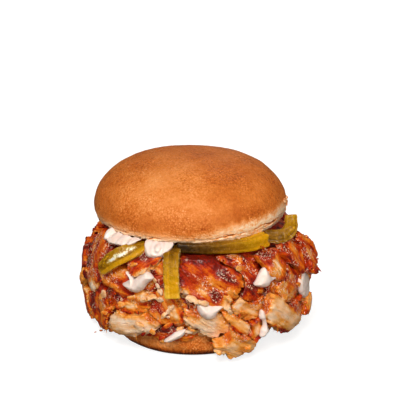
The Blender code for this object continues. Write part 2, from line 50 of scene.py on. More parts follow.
# Each slice: name, angle, height, distance, length, width, thickness, roll, tilt; then how roasted its face is (0 pale to 1
# charred), how charred its rim and spots are, ridge depth, outline raggedness, lumps (mm), how roasted its cut edge is.
SHOWN = [
    ("chicken_big_middle", 279, 47.5, 59.5, 36, 25, 6.5, -38, 8, 0.52, 0.22, 0.60, 0.7, 0.35, 0.10),
    ("chicken_left_glossy", 228, 42.5, 57.5, 27, 17, 5.0, -8, 5, 0.44, 0.14, 0.24, 0.7, 0.24, 0.36),
    ("chicken_left_folded", 209, 46.0, 55.8, 35, 23, 5.5, 78, 12, 0.46, 0.35, 0.24, 0.7, 0.40, 0.50),
    ("chicken_upper_chip", 245, 55.5, 56.0, 25, 12, 5.0, 35, 25, 0.51, 0.24, 0.34, 1.3, 0.35, 0.18),
    ("chicken_char_line", 296, 48.0, 60.0, 32, 16, 6.0, -55, 5, 0.60, 0.45, 0.50, 0.9, 0.40, 0.20),
    ("chicken_left_crumbly", 237, 32.5, 57.0, 28, 14, 6.0, 5, 0, 0.44, 0.42, 0.34, 1.2, 0.60, 0.24),
    ("chicken_mottled", 298, 33.5, 60.5, 22, 17, 6.0, -35, -3, 0.28, 0.46, 0.45, 1.2, 0.60, 0.16),
    ("chicken_pale_ragged", 278.5, 25.0, 57.5, 24.5, 16, 5.5, -35, -8, 0.12, 0.12, 0.35, 1.6, 0.40, 0.08),
    ("chicken_right_ridge_1", 312, 52.6, 62.2, 22, 14, 5.5, -62, 22, 0.46, 0.34, 0.80, 0.6, 0.25, 0.36),
    ("chicken_right_glossy", 321, 38.0, 63.5, 24, 18, 7.0, -48, 0, 0.48, 0.40, 0.36, 0.8, 0.40, 0.40),
    ("chicken_right_ridge_2", 324, 54.0, 64.0, 27, 14, 5.5, -60, 22, 0.46, 0.34, 0.95, 0.8, 0.20, 0.36),
    ("chicken_right_outer", 334, 51.0, 68.0, 30, 15, 5.5, -54, 22, 0.46, 0.46, 1.00, 1.7, 0.20, 0.42),
    ("chicken_left_centre", 256.5, 31.0, 55.5, 21, 17, 6.0, -60, 0, 0.43, 0.30, 0.35, 1.0, 0.50, 0.20),
    ("chicken_pale_chunk", 238.5, 20.2, 57.0, 33, 15, 8.0, 14, -2, 0.09, 0.10, 0.30, 0.9, 0.25, 0.14),
    ("chicken_tan_chunk", 319, 22.5, 63.5, 35, 19, 9.0, -36, -3, 0.14, 0.34, 0.36, 1.0, 0.35, 0.28),
    ("chicken_pale_strip", 292, 24.0, 60.5, 25, 8, 4.5, -42, 0, 0.18, 0.20, 0.40, 1.0, 0.30, 0.14),
    ("chicken_lower_ridge", 301, 21.5, 61.0, 20, 11, 7.0, -68, -8, 0.36, 0.30, 0.40, 0.8, 0.45, 0.30),
    ("chicken_left_spiked", 214, 23.0, 57.2, 28, 20, 6.0, 78, -6, 0.46, 0.70, 0.50, 1.6, 0.60, 0.30),
    ("chicken_under_sauce", 249, 40.0, 55.5, 23, 13, 5.0, 35, 0, 0.48, 0.30, 0.30, 0.7, 0.25, 0.30),
    ("chicken_behind_gherkin", 254, 49.0, 54.5, 21, 16, 5.0, -50, 5, 0.34, 0.60, 0.30, 1.0, 0.35, 0.10),
    ("chicken_right_strip", 329, 23.0, 64.5, 23, 11, 6.0, -50, -6, 0.42, 0.50, 0.50, 0.9, 0.40, 0.40),
    ("chicken_right_recess", 311, 36.0, 60.0, 18, 14, 6.0, -40, 0, 0.58, 0.40, 0.40, 0.8, 0.40, 0.50),
    ("chicken_low_golden", 290.6, 14.6, 61.0, 29, 17, 8.5, -33, -15, 0.23, 0.20, 0.44, 1.3, 0.50, 0.08),
    ("chicken_recess", 265, 30.0, 53.0, 24, 16, 5.0, -75, 0, 0.52, 0.20, 0.25, 0.7, 0.25, 0.55),
    ("chicken_low_bits", 254, 16.5, 51.5, 30, 11, 6.5, -5, -12, 0.40, 0.40, 0.30, 1.5, 0.80, 0.30),
    ("chicken_right_pale", 334, 41.0, 65.5, 15, 11, 5.5, -30, 0, 0.18, 0.10, 0.30, 0.8, 0.35, 0.20),
    ("chicken_right_nub", 341, 18.5, 65.5, 14, 10, 6.5, 80, 0, 0.36, 0.60, 0.40, 0.9, 0.40, 0.30),
    ("chicken_left_nub", 191, 31.0, 59.2, 9, 7, 5.0, 60, 0, 0.36, 0.30, 0.20, 0.5, 0.30, 0.30),
]
FAR = [
    ("chicken_far_1", 356, 38.0, 63.5, 30, 22, 6.5, -40, 4, 0.54, 0.50, 0.60, 1.2, 0.5, 0.20),
    ("chicken_far_2", 26, 44.5, 59.5, 36, 24, 6.0, 32, 12, 0.58, 0.60, 0.60, 1.2, 0.5, 0.15),
    ("chicken_far_3", 57, 46.0, 57.0, 35, 25, 6.5, -28, 10, 0.46, 0.50, 0.50, 1.2, 0.6, 0.10),
    ("chicken_far_4", 90, 46.0, 54.2, 37, 24, 6.0, 40, 12, 0.54, 0.60, 0.60, 1.2, 0.5, 0.15),
    ("chicken_far_5", 122, 46.0, 55.5, 35, 25, 6.5, -45, 10, 0.60, 0.60, 0.60, 1.2, 0.6, 0.20),
    ("chicken_far_6", 154, 38.5, 56.0, 35, 22, 6.0, 25, 10, 0.44, 0.50, 0.50, 1.2, 0.6, 0.10),
    ("chicken_far_7", 182, 36.5, 57.0, 26, 22, 6.0, 70, 6, 0.56, 0.60, 0.50, 1.2, 0.6, 0.40),
    ("chicken_far_8", 8, 20.0, 62.0, 34, 20, 8.0, 20, -8, 0.20, 0.30, 0.40, 1.3, 0.7, 0.15),
    ("chicken_far_9", 42, 21.5, 58.5, 35, 22, 8.0, -35, -9, 0.50, 0.50, 0.50, 1.2, 0.7, 0.20),
    ("chicken_far_10", 77, 22.5, 56.5, 36, 23, 7.5, 15, -8, 0.34, 0.50, 0.50, 1.3, 0.8, 0.10),
    ("chicken_far_11", 112, 21.5, 56.0, 35, 22, 8.0, 45, -9, 0.56, 0.60, 0.50, 1.2, 0.6, 0.20),
    ("chicken_far_12", 150, 22.0, 56.5, 37, 23, 8.0, -20, -8, 0.18, 0.25, 0.40, 1.3, 0.6, 0.12),
    ("chicken_far_13", 184, 17.5, 56.5, 26, 17, 6.5, -70, -6, 0.40, 0.60, 0.40, 1.3, 0.8, 0.20),
]
REACH = ([0, 8, 26, 45, 240, 260, 279, 296, 304, 311, 321, 334, 345, 356, 360], [4.2, 3.0, 1.5, 0, 0, 1.0, 2.0, 3.5, 4.5, 5.0, 5.5, 7.5, 7.0, 5.0, 4.2])
GHERKINS = {
    "gherkin_left": ([(244.0, 60.4, 45), (242.0, 60.9, 51.0), (238.6, 59.9, 56.4), (235.2, 58.2, 59.7), (231.7, 55.8, 61.5), (227.0, 51.6, 61.9), (221.3, 46.5, 61.6)], 3.0, 4.4, 3.3, 1.9),
    "gherkin_hanging": ([(260.2, 60.5, 46), (260.2, 61.2, 52), (260.5, 59.6, 58), (261, 54.5, 62.2), (261.4, 47.5, 63.8), (261.8, 39.8, 64.4)], 4.3, 4.0, 3.8, 1.9),
    "gherkin_rim": ([(262, 62.4, 49.8), (272, 62.4, 50.6), (283, 62.2, 51.4), (294, 61.8, 52.2), (305, 61.3, 53.0), (317.5, 61.7, 53.8)], 2.6, 3.0, 3.7, 3.5),
    "gherkin_curled": ([(315.6, 63.8, 53.5), (317.2, 63.8, 57.2), (319.7, 64.1, 60.5), (323.0, 65.0, 62.3), (325.4, 67.6, 63.0), (326.3, 71.0, 62.8), (327.1, 74.0, 62.0)], 3.0, 3.6, 2.9, 1.8),
    "gherkin_far": ([(97, 60.2, 44), (97, 60.4, 49), (96, 58.2, 53.4), (94.5, 53.2, 56.8), (93.5, 47.0, 57.9), (93, 40.0, 58.0)], 4.0, 4.3, 3.9, 2.2),
}
SAUCES = [
    ("sauce_middle", 278.8, 33.0, 61.8, 17, 10, 7.5, 6, [(22, 0.6, 12), (160, 0.2, 6)]),
    ("sauce_left", 245.5, 45.2, 60.6, 15.5, 11, 7.0, 10, [(170, 0.35, 12), (25, 0.2, 6)]),
    ("sauce_left_rim", 230.0, 61.4, 54.6, 21, 9.0, 9.6, -8, [(185, 0.25, 8), (-20, 0.2, 8)]),
    ("sauce_round", 253.0, 60.0, 54.4, 15, 13, 11.0, 0, []),
    ("sauce_pointed", 306.0, 45.2, 64.8, 12, 11, 6.5, 0, [(100, 0.55, 14), (20, 0.65, 14), (215, 0.2, 6)]),
    ("sauce_right_smear", 331.5, 32.5, 66.6, 9, 15, 3.6, 0, [(90, 0.15, 8)]),
    ("sauce_low_right", 304.9, 20.8, 65.0, 5.2, 15, 5.0, 8, [(270, 0.15, 8)]),
    ("sauce_low_left", 260.8, 16.2, 56.0, 13, 6, 5.0, 34, [(200, 0.2, 8)]),
    ("sauce_far_1", 68, 57.5, 58.0, 18, 9, 7.5, 0, [(200, 0.3, 10), (-30, 0.25, 8)]),
    ("sauce_far_2", 134, 38.0, 60.5, 15, 11, 6.5, 12, [(30, 0.4, 12)]),
]


# The dollops' outlines in their own faces: u, v (mm).
OUTLINES = {
    "sauce_left_rim": [(-11.9, -2.2), (-11.6, 2.6), (-9.6, 6.4), (-4.2, 9.6), (1.4, 10.4), (7.6, 10.5), (14.1, 10.8),
        (15.4, 9.0), (12.3, 6.4), (9.5, 4.4), (7.2, 1.9), (4.3, -0.4), (1.5, -0.8), (-3.4, -2.2), (-7.0, -2.6)],
    "sauce_round": [(-7.7, 3.2), (-7.6, 6.7), (-5.0, 9.7), (-0.2, 11.3), (5.1, 11.0), (7.4, 8.0), (7.4, 4.8), (6.0, 1.4),
        (3.3, -1.4), (-0.3, -3.1), (-4.3, -3.2), (-7.1, -1.6)],
    "sauce_left": [(-11.6, -1.0), (-8.5, 0.5), (-6.4, 1.9), (-7.7, 4.4), (-8.2, 5.8), (-6.6, 5.5), (-4.6, 2.8), (-3.8, 1.7), (-1.5, 3.1),
                   (2.0, 4.9), (5.1, 5.6), (7.1, 3.2), (7.4, 2.1), (4.8, 0.0), (1.8, -2.7), (-0.6, -4.6), (-3.7, -5.6), (-6.8, -4.6),
                   (-9.1, -3.0)],
    "sauce_middle": [(-5.8, 4.8), (-6.3, 2.1), (-5.6, -1.7), (-3.0, -4.8), (-0.1, -5.8), (2.6, -4.8), (4.2, -2.5), (6.5, -0.9), (8.6, 0.2),
                     (5.9, 1.6), (2.0, 2.1), (-2.1, 3.5)],
    "sauce_pointed": [(-1.1, 7.1), (-3.1, 5.3), (-5.4, 1.7), (-7.3, -1.0), (-4.7, -2.8), (-0.9, -4.0), (1.3, -3.1), (4.0, -1.5),
                      (7.4, -0.5), (9.9, 1.7), (6.2, 1.2), (3.4, 1.7), (1.7, 4.1), (0.3, 6.1)],
    "sauce_right_smear": [(-0.6, 8.9), (-2.8, 5.7), (-3.1, 2.4), (-2.3, -1.4), (1.2, -5.9), (5.9, -8.6), (9.7, -8.3),
        (11.8, -5.5), (11.8, -2.0), (9.4, 2.9), (4.9, 7.5)],
    "sauce_low_right": [(0.2, 8.6), (-1.4, 6.5), (-1.7, 4.2), (-0.2, 1.9), (-0.1, -0.9), (-1.6, -3.2), (-2.6, -6.3), (-0.2, -7.2),
                        (1.8, -6.2), (3.9, -5.4), (2.8, -2.2), (2.2, 1.6), (2.1, 5.6)],
    "sauce_low_left": [(-6.2, -0.1), (-3.2, 0.3), (1.1, 0.6), (4.4, 0.1), (6.9, -0.8), (5.8, -2.5), (2.8, -3.6), (-1.1, -3.3),
                       (-4.7, -2.6), (-6.6, -1.4)],
    "sauce_far_1": [(-9.8, -2.2), (-6.6, -2.6), (-3.0, -3.4), (1.6, -2.8), (5.2, -3.6), (8.8, -1.6), (8.2, 1.6), (4.6, 3.2), (0.4, 3.9),
                    (-3.6, 3.2), (-6.4, 1.8)],
    "sauce_far_2": [(-7.0, -1.4), (-6.2, 2.2), (-3.0, 3.6), (0.2, 1.9), (3.2, 3.0), (7.9, 5.6), (6.6, 1.8), (5.6, -1.8), (2.2, -4.6),
                    (-2.4, -5.0), (-5.6, -3.8)],
}

# Patches on the slices: u, v, reach along u and v (mm), how much more roasted, how much wetter (glossier, with more
# painted highlight glints).
MARKS = {
    "chicken_big_middle": [(-9, 6, 10, 8, 0.10, -0.4), (-2, -1, 13, 5, -0.10, 0.4), (5, 7.5, 8, 2.8, 0.28, 1.1), (7, -4, 4.5, 3, 0.26, 1.1),
                           (0, -6, 5, 3, -0.16, 0.6), (-9, -12.5, 9, 2.6, -0.50, 0.0), (15, -4.5, 5, 4, -0.26, 0.2)],
    "chicken_char_line": [(-12, 3, 5, 3.5, -0.24, 0.6), (-6, 4, 5, 2.5, -0.10, 1.0), (-1, -1, 8, 2.2, -0.12, 0.8), (2, 5, 9, 2.0, 0.20, 0.6)],
    "chicken_left_folded": [(2, 8, 16, 3, 0.20, 0.9), (2, 2.5, 15, 1.6, 0.18, 0.9), (12, -8, 7, 5, 0.10, 0.5), (-8, -6, 7, 5, -0.14, 0.5), (8, 5, 5, 2, -0.16, 1.2), (0, 4, 17, 7, 0.0, 0.6),
                            (-15, -5, 5, 5, -0.36, 1.0)],
    "chicken_left_glossy": [(-3, 0, 9, 4, -0.10, 0.8), (3, 5, 5, 3, -0.06, 0.5), (-2, -8, 12, 1.8, 0.30, 0.0)],
    "chicken_upper_chip": [(-8, 0, 3.5, 5, -0.05, 0.3), (2, 1, 4, 3, 0.14, 0.6), (8, 2, 5, 4, 0.06, 0.6), (0, -5.6, 11, 1.3, -0.30, 0.8)],
    "chicken_left_crumbly": [(-6, 1, 4, 3, 0.14, 0.6), (1, -1, 4, 3, -0.16, 0.3), (6, 1, 4, 3, 0.06, 0.6), (11, 3, 4, 3, -0.30, 0.3)],
    "chicken_mottled": [(-3, 3, 4, 2.6, -0.28, 1.0), (-7, -2, 4, 4, -0.18, 0.8), (4, 2, 4, 4, 0.06, 0.6)],
    "chicken_pale_ragged": [(-10, 3, 6, 7, 0.34, 0.5), (0, -3, 8, 6, -0.04, 0.0), (5, 6, 6, 2.5, 0.16, 0.4)],
    "chicken_right_glossy": [(-8, 2, 5, 4, 0.16, 1.0), (0, 4, 5, 3, -0.06, 0.6), (-5, -5, 6, 4, -0.24, 0.8), (5, -4, 4, 4, -0.12, 0.6)],
    "chicken_right_ridge_1": [(2, -1, 4.5, 2.4, -0.34, 1.0), (-6, 0, 4, 3, 0.06, 0.8), (4, -5, 5, 3, -0.14, 0.6)],
    "chicken_right_ridge_2": [(-3, -3, 8, 2.0, 0.20, 0.6), (3, 3, 7, 2, -0.06, 0.3)],
    "chicken_right_outer": [(-8, -1, 9, 3, -0.10, 0.4), (-8, -7, 9, 2, 0.20, 0.3), (6, 3, 6, 2.5, 0.02, 0.3)],
    "chicken_left_centre": [(-3, -3, 5, 4, 0.08, 0.7), (4, 3, 4, 3, -0.24, 0.3), (5, -5, 4, 3, -0.10, 0.2)],
    "chicken_pale_chunk": [(12, 4, 4, 4, 0.14, 0.3), (-12, -3, 3, 4, 0.12, 0.2)],
    "chicken_tan_chunk": [(-12, -4, 5, 5, -0.08, 0.1), (-5, 8, 8, 2.6, 0.24, 0.6), (8, 7, 11, 4.5, 0.32, 0.6), (5, -9, 12, 1.8, 0.40, 0.2)],
    "chicken_pale_strip": [(0, -3.4, 12, 1.2, 0.34, 0.2), (0, 3.4, 12, 1.0, 0.24, 0.2)],
    "chicken_lower_ridge": [(-6, 0, 4, 3, 0.22, 0.8), (4, 1, 4, 3, -0.10, 0.8)],
    "chicken_left_spiked": [(3, 4, 9, 3, 0.18, 0.4), (2, -5, 7, 4, -0.18, 0.4)],
    "chicken_under_sauce": [(6, 0, 6, 6, 0.08, 0.5)],
    "chicken_behind_gherkin": [(2, 4, 6, 3, -0.24, 0.0), (-4, -3, 6, 3, 0.40, 0.4)],
    "chicken_right_strip": [(-2, -1, 9, 1.6, 0.26, 0.3), (4, 3, 6, 3, -0.12, 0.4)],
    "chicken_right_recess": [(0, 0, 8, 6, 0.12, 0.8)],
    "chicken_low_golden": [(-6, 7, 8, 2.4, 0.30, 0.5), (3, 4, 8, 3, 0.06, 0.4), (-11, -3, 6, 6, -0.18, 0.0), (4, -5, 8, 4, -0.06, 0.2)],
    "chicken_recess": [(-3, 0, 6, 8, 0.22, 0.4), (6, 0, 5, 6, -0.16, 0.9)],
    "chicken_low_bits": [(6, 0, 7, 5, 0.20, 0.3), (-4, 0, 5, 4, 0.16, 0.2), (-11, 0, 4, 4, -0.26, 0.1)],
    "chicken_right_nub": [(0, -4, 7, 2.4, 0.34, 0.2), (0, 1, 5, 3, -0.06, 0.6)],
}
SHEETS = {"chicken_pale_chunk": 1, "chicken_tan_chunk": 2, "chicken_left_nub": 1, "chicken_low_golden": 2, "chicken_pale_strip": 1,
          "chicken_big_middle": 1, "chicken_right_nub": 1, "chicken_right_pale": 1, "chicken_left_glossy": 1, "chicken_left_folded": 1,
          "chicken_upper_chip": 2, "chicken_under_sauce": 1, "chicken_recess": 1, "chicken_right_ridge_1": 1, "chicken_right_ridge_2": 1}


# ================================================================= noise
_rng = np.random.default_rng(20)
_PERM = _rng.permutation(256).astype(np.int32)
_PERM = np.concatenate([_PERM, _PERM, _PERM])
_grad = _rng.normal(size=(256, 3))
_grad /= np.linalg.norm(_grad, axis=1)[:, None]
_GX, _GY, _GZ = (np.ascontiguousarray(_grad[:, k]) for k in range(3))


def noise(x, y, z):
    """Gradient noise, about -1 to 1, one bump for each unit."""
    x, y, z = np.broadcast_arrays(np.asarray(x, float), np.asarray(y, float), np.asarray(z, float))
    xi, yi, zi = np.floor(x), np.floor(y), np.floor(z)
    xf, yf, zf = x - xi, y - yi, z - zi
    ix, iy, iz = (k.astype(np.int32) & 255 for k in (xi, yi, zi))
    fu, fv, fw = (t * t * t * (t * (t * 6 - 15) + 10) for t in (xf, yf, zf))
    out = np.zeros(x.shape)
    for dx in (0, 1):
        wx = fu if dx else 1 - fu
        px = _PERM[ix + dx]
        for dy in (0, 1):
            wy = wx * (fv if dy else 1 - fv)
            py = _PERM[px + iy + dy]
            for dz in (0, 1):
                wz = wy * (fw if dz else 1 - fw)
                h = _PERM[py + iz + dz]
                out += wz * (_GX[h] * (xf - dx) + _GY[h] * (yf - dy) + _GZ[h] * (zf - dz))
    return out * 1.7


def fbm(x, y, z, octaves=3, gain=0.5):
    total, size = 0.0, 1.0
    for k in range(octaves):
        total = total + size * noise(x * 2**k + 17.3 * k, y * 2**k - 9.1 * k, z * 2**k + 4.7 * k)
        size *= gain
    return total


def smooth(lo, hi, x):
    t = np.clip((x - lo) / (hi - lo), 0, 1)
    return t * t * (3 - 2 * t)


def smax(a, b, k):
    h = np.clip(0.5 + 0.5 * (a - b) / k, 0, 1)
    return a * h + b * (1 - h) + k * h * (1 - h)


def smin(a, b, k):
    return -smax(-a, -b, k)


# ================================================================= meshes
def surface(field, step, low):
    """The smooth surface where field crosses zero on a regular grid: points and four-sided faces, facing out."""
    inside = field < 0
    corners = np.zeros(tuple(n - 1 for n in field.shape), np.int8)
    for a in (0, 1):
        for b in (0, 1):
            for c in (0, 1):
                corners += inside[a : inside.shape[0] - 1 + a, b : inside.shape[1] - 1 + b, c : inside.shape[2] - 1 + c]
    cells = (corners > 0) & (corners < 8)
    i, j, k = np.nonzero(cells)
    index = np.full(cells.shape, -1, np.int64)
    index[i, j, k] = np.arange(len(i))
    total, count = np.zeros((len(i), 3)), np.zeros(len(i))
    for axis in range(3):
        o1, o2 = (axis + 1) % 3, (axis + 2) % 3
        for p in (0, 1):
            for q in (0, 1):
                a = [0, 0, 0]
                a[o1], a[o2] = p, q
                b = list(a)
                b[axis] = 1
                fa = field[i + a[0], j + a[1], k + a[2]]
                fb = field[i + b[0], j + b[1], k + b[2]]
                cross = (fa < 0) != (fb < 0)
                t = np.where(cross, fa / np.where(cross, fa - fb, 1), 0)
                total[:, axis] += np.where(cross, t, 0)
                total[:, o1] += np.where(cross, p, 0)
                total[:, o2] += np.where(cross, q, 0)
                count += cross
    points = (total / count[:, None] + np.stack([i, j, k], 1)) * step + np.asarray(low)
    faces = []
    for axis in range(3):
        o1, o2 = (axis + 1) % 3, (axis + 2) % 3
        take = lambda s, e: tuple(
            slice(s, field.shape[n] - 1 + s) if n == axis else slice(1, field.shape[n] - 1) for n in range(3)
        )
        one, two = inside[take(0, 0)], inside[take(1, 0)]
        for flag, turn in ((one & ~two, False), (~one & two, True)):
            c = list(np.nonzero(flag))
            c[o1] = c[o1] + 1
            c[o2] = c[o2] + 1

            def at(d1, d2):
                d = [x.copy() for x in c]
                d[o1] -= d1
                d[o2] -= d2
                return index[d[0], d[1], d[2]]

            quad = [at(1, 1), at(0, 1), at(0, 0), at(1, 0)]
            faces.append(np.stack(quad[::-1] if turn else quad, 1))
    return points, np.concatenate(faces)


def build(name, points, faces, material, values=None, smooth_shade=True):
    """An object from arrays of points (mm) and faces of one size, with its named point values."""
    mesh = bpy.data.meshes.new(name)
    n, size = len(faces), faces.shape[1]
    mesh.vertices.add(len(points))
    mesh.vertices.foreach_set("co", (np.asarray(points) * MM).astype(np.float32).ravel())
    mesh.loops.add(n * size)
    mesh.loops.foreach_set("vertex_index", faces.astype(np.int32).ravel())
    mesh.polygons.add(n)
    mesh.polygons.foreach_set("loop_start", np.arange(0, n * size, size, dtype=np.int32))
    mesh.polygons.foreach_set("use_smooth", np.full(n, smooth_shade))
    mesh.update(calc_edges=True)
    mesh.validate()
    for key, value in (values or {}).items():
        value = np.asarray(value, np.float32)
        if value.ndim == 1:
            mesh.attributes.new(key, "FLOAT", "POINT").data.foreach_set("value", value)
        else:
            mesh.attributes.new(key, "FLOAT_VECTOR", "POINT").data.foreach_set("vector", value.ravel())
    mesh.materials.append(material)
    obj = bpy.data.objects.new(name, mesh)
    bpy.context.scene.collection.objects.link(obj)
    return obj


def add(obj, slot, *nodes):
    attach(obj, "root")
    if nodes:
        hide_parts(*nodes)
    return obj


def grid_faces(rows, columns, wrap=True):
    """Four-sided faces of a grid of rows x columns points, closed round the columns."""
    r = np.arange(rows - 1)[:, None]
    c = np.arange(columns if wrap else columns - 1)[None, :]
    n = (c + 1) % columns
    return np.stack(
        [(r * columns + c), (r * columns + n), ((r + 1) * columns + n), ((r + 1) * columns + c)], -1
    ).reshape(-1, 4)


# ================================================================= materials
def lin(r, g, b):
    return tuple((c / 255 / 12.92) if c / 255 <= 0.04045 else ((c / 255 + 0.055) / 1.055) ** 2.4 for c in (r, g, b)) + (1.0,)


class Nodes:
    """Small helper that writes a material's nodes in a row."""

    def __init__(self, name):
        self.material = bpy.data.materials.new(name)
        self.material.use_nodes = True
        self.tree = self.material.node_tree
        self.shader = self.tree.nodes["Principled BSDF"]

    def new(self, kind, **settings):
        node = self.tree.nodes.new(kind)
        for key, value in settings.items():
            setattr(node, key, value)
        return node

    def link(self, a, b):
        self.tree.links.new(a, b)

    def attribute(self, name, vector=False):
        node = self.new("ShaderNodeAttribute", attribute_name=name)
        return node.outputs["Vector" if vector else "Fac"]

    def place(self, scale=(1, 1, 1)):
        """Object position in millimetres."""
        coord = self.new("ShaderNodeTexCoord")
        mapping = self.new("ShaderNodeMapping")
        mapping.inputs["Scale"].default_value = tuple(1000 * s for s in scale)
        self.link(coord.outputs["Object"], mapping.inputs["Vector"])
        return mapping.outputs["Vector"]

    def scaled(self, vector, scale):
        mapping = self.new("ShaderNodeMapping")
        mapping.inputs["Scale"].default_value = scale
        self.link(vector, mapping.inputs["Vector"])
        return mapping.outputs["Vector"]

    def noise(self, vector, scale, detail=3.0, rough=0.55, distortion=0.0):
        node = self.new("ShaderNodeTexNoise")
        node.inputs["Scale"].default_value = scale
        node.inputs["Detail"].default_value = detail
        node.inputs["Roughness"].default_value = rough
        node.inputs["Distortion"].default_value = distortion
        self.link(vector, node.inputs["Vector"])
        return node.outputs["Fac"]

    def cells(self, vector, scale, feature="F1"):
        node = self.new("ShaderNodeTexVoronoi", feature=feature)
        node.inputs["Scale"].default_value = scale
        self.link(vector, node.inputs["Vector"])
        return node.outputs["Distance"]

    def math(self, op, a, b=None, clamp=False):
        node = self.new("ShaderNodeMath", operation=op, use_clamp=clamp)
        for k, x in enumerate((a, b)):
            if x is None:
                continue
            if isinstance(x, (int, float)):
                node.inputs[k].default_value = x
            else:
                self.link(x, node.inputs[k])
        return node.outputs[0]

    def span(self, x, lo, hi, to_lo=0.0, to_hi=1.0):
        node = self.new("ShaderNodeMapRange", interpolation_type="SMOOTHSTEP")
        for key, value in (("From Min", lo), ("From Max", hi), ("To Min", to_lo), ("To Max", to_hi)):
            node.inputs[key].default_value = value
        self.link(x, node.inputs["Value"])
        return node.outputs["Result"]

    def ramp(self, x, stops):
        node = self.new("ShaderNodeValToRGB")
        ramp = node.color_ramp
        while len(ramp.elements) > 1:
            ramp.elements.remove(ramp.elements[-1])
        ramp.elements[0].position, ramp.elements[0].color = stops[0][0], lin(*stops[0][1])
        for position, colour in stops[1:]:
            ramp.elements.new(position).color = lin(*colour)
        self.link(x, node.inputs["Fac"])
        return node.outputs["Color"]

    def mix(self, factor, a, b, blend="MIX"):
        node = self.new("ShaderNodeMix", data_type="RGBA", blend_type=blend)
        for socket, x in ((node.inputs["Factor"], factor), (node.inputs["A"], a), (node.inputs["B"], b)):
            pass
        ins = [s for s in node.inputs if s.enabled]
        for socket, x in zip(ins, (factor, a, b)):
            if isinstance(x, (int, float)):
                socket.default_value = x
            elif isinstance(x, tuple):
                socket.default_value = x
            else:
                self.link(x, socket)
        return [s for s in node.outputs if s.enabled][0]

    def bump(self, height, distance, strength=1.0, normal=None):
        node = self.new("ShaderNodeBump")
        node.inputs["Strength"].default_value = strength
        node.inputs["Distance"].default_value = distance * MM
        self.link(height, node.inputs["Height"])
        if normal is not None:
            self.link(normal, node.inputs["Normal"])
        return node.outputs["Normal"]

    def set(self, **values):
        for key, value in values.items():
            socket = self.shader.inputs[key.replace("_", " ")]
            if isinstance(value, (int, float, tuple)):
                socket.default_value = value
            else:
                self.link(value, socket)
        return self.material


ROAST = [
    (0.00, (255, 226, 200)),
    (0.12, (255, 200, 148)),
    (0.25, (247, 166, 74)),
    (0.37, (238, 131, 27)),
    (0.47, (220, 95, 8)),
    (0.57, (194, 52, 4)),
    (0.68, (154, 28, 6)),
    (0.79, (98, 14, 7)),
    (0.89, (54, 9, 9)),
    (1.00, (26, 7, 8)),
]


def meat_material():
    n = Nodes("grilled_chicken")
    spot = n.attribute("along", vector=True)
    fibres = n.noise(n.scaled(spot, (0.10, 1.0, 1.0)), 1.05, 4.0, 0.62, 0.4)
    grain = n.noise(spot, 1.0, 4.0, 0.70)
    pepper = n.noise(spot, 2.2, 2.0, 0.5)
    painted_glint_spots = n.noise(spot, 1.05, 2.5, 0.6, 0.8)
    drops = n.noise(spot, 0.40, 1.5, 0.5)
    roast = n.attribute("roast")
    wet = n.attribute("wet")
    much = n.span(roast, 0.05, 0.45, 0.40, 1.0)
    change = n.math("ADD", n.math("MULTIPLY", n.math("SUBTRACT", fibres, 0.5), 0.36), n.math("MULTIPLY", n.math("SUBTRACT", grain, 0.5), 0.34))
    value = n.math("ADD", roast, n.math("MULTIPLY", change, much))
    value = n.math("ADD", value, n.math("MULTIPLY", n.span(pepper, 0.62, 0.72, 0.0, 0.20), much), clamp=True)
    colour = n.ramp(value, ROAST)
    # Painted highlight: pinkish-white glints are painted into the colour where the meat is wet, in small noise spots.
    painted_glint = n.math("MULTIPLY", n.span(wet, 0.66, 0.92), n.span(painted_glint_spots, 0.56, 0.60))
    painted_glint = n.math("MULTIPLY", painted_glint, n.span(roast, 0.10, 0.35, 0.2, 0.9))
    colour = n.mix(painted_glint, colour, lin(255, 220, 186))
    rough = n.math("SUBTRACT", 0.46, n.math("MULTIPLY", wet, 0.20))
    height = n.math("ADD", fibres, grain)
    normal = n.bump(height, 0.76)
    normal = n.bump(n.noise(spot, 2.4, 3.0, 0.6), 0.12, 1.0, normal)
    glaze = n.bump(n.math("ADD", drops, n.math("MULTIPLY", fibres, 0.25)), 1.1)
    shine = n.span(wet, 0.15, 0.75, 0.10, 0.80)
    return n.set(
        Base_Color=colour, Roughness=rough, Normal=normal, Subsurface_Weight=0.08, Subsurface_Radius=(1.0, 0.30, 0.10),
        Subsurface_Scale=0.0010, Coat_Weight=shine, Coat_Roughness=0.09, Coat_Normal=glaze, Coat_IOR=1.52, IOR=1.22,
    )


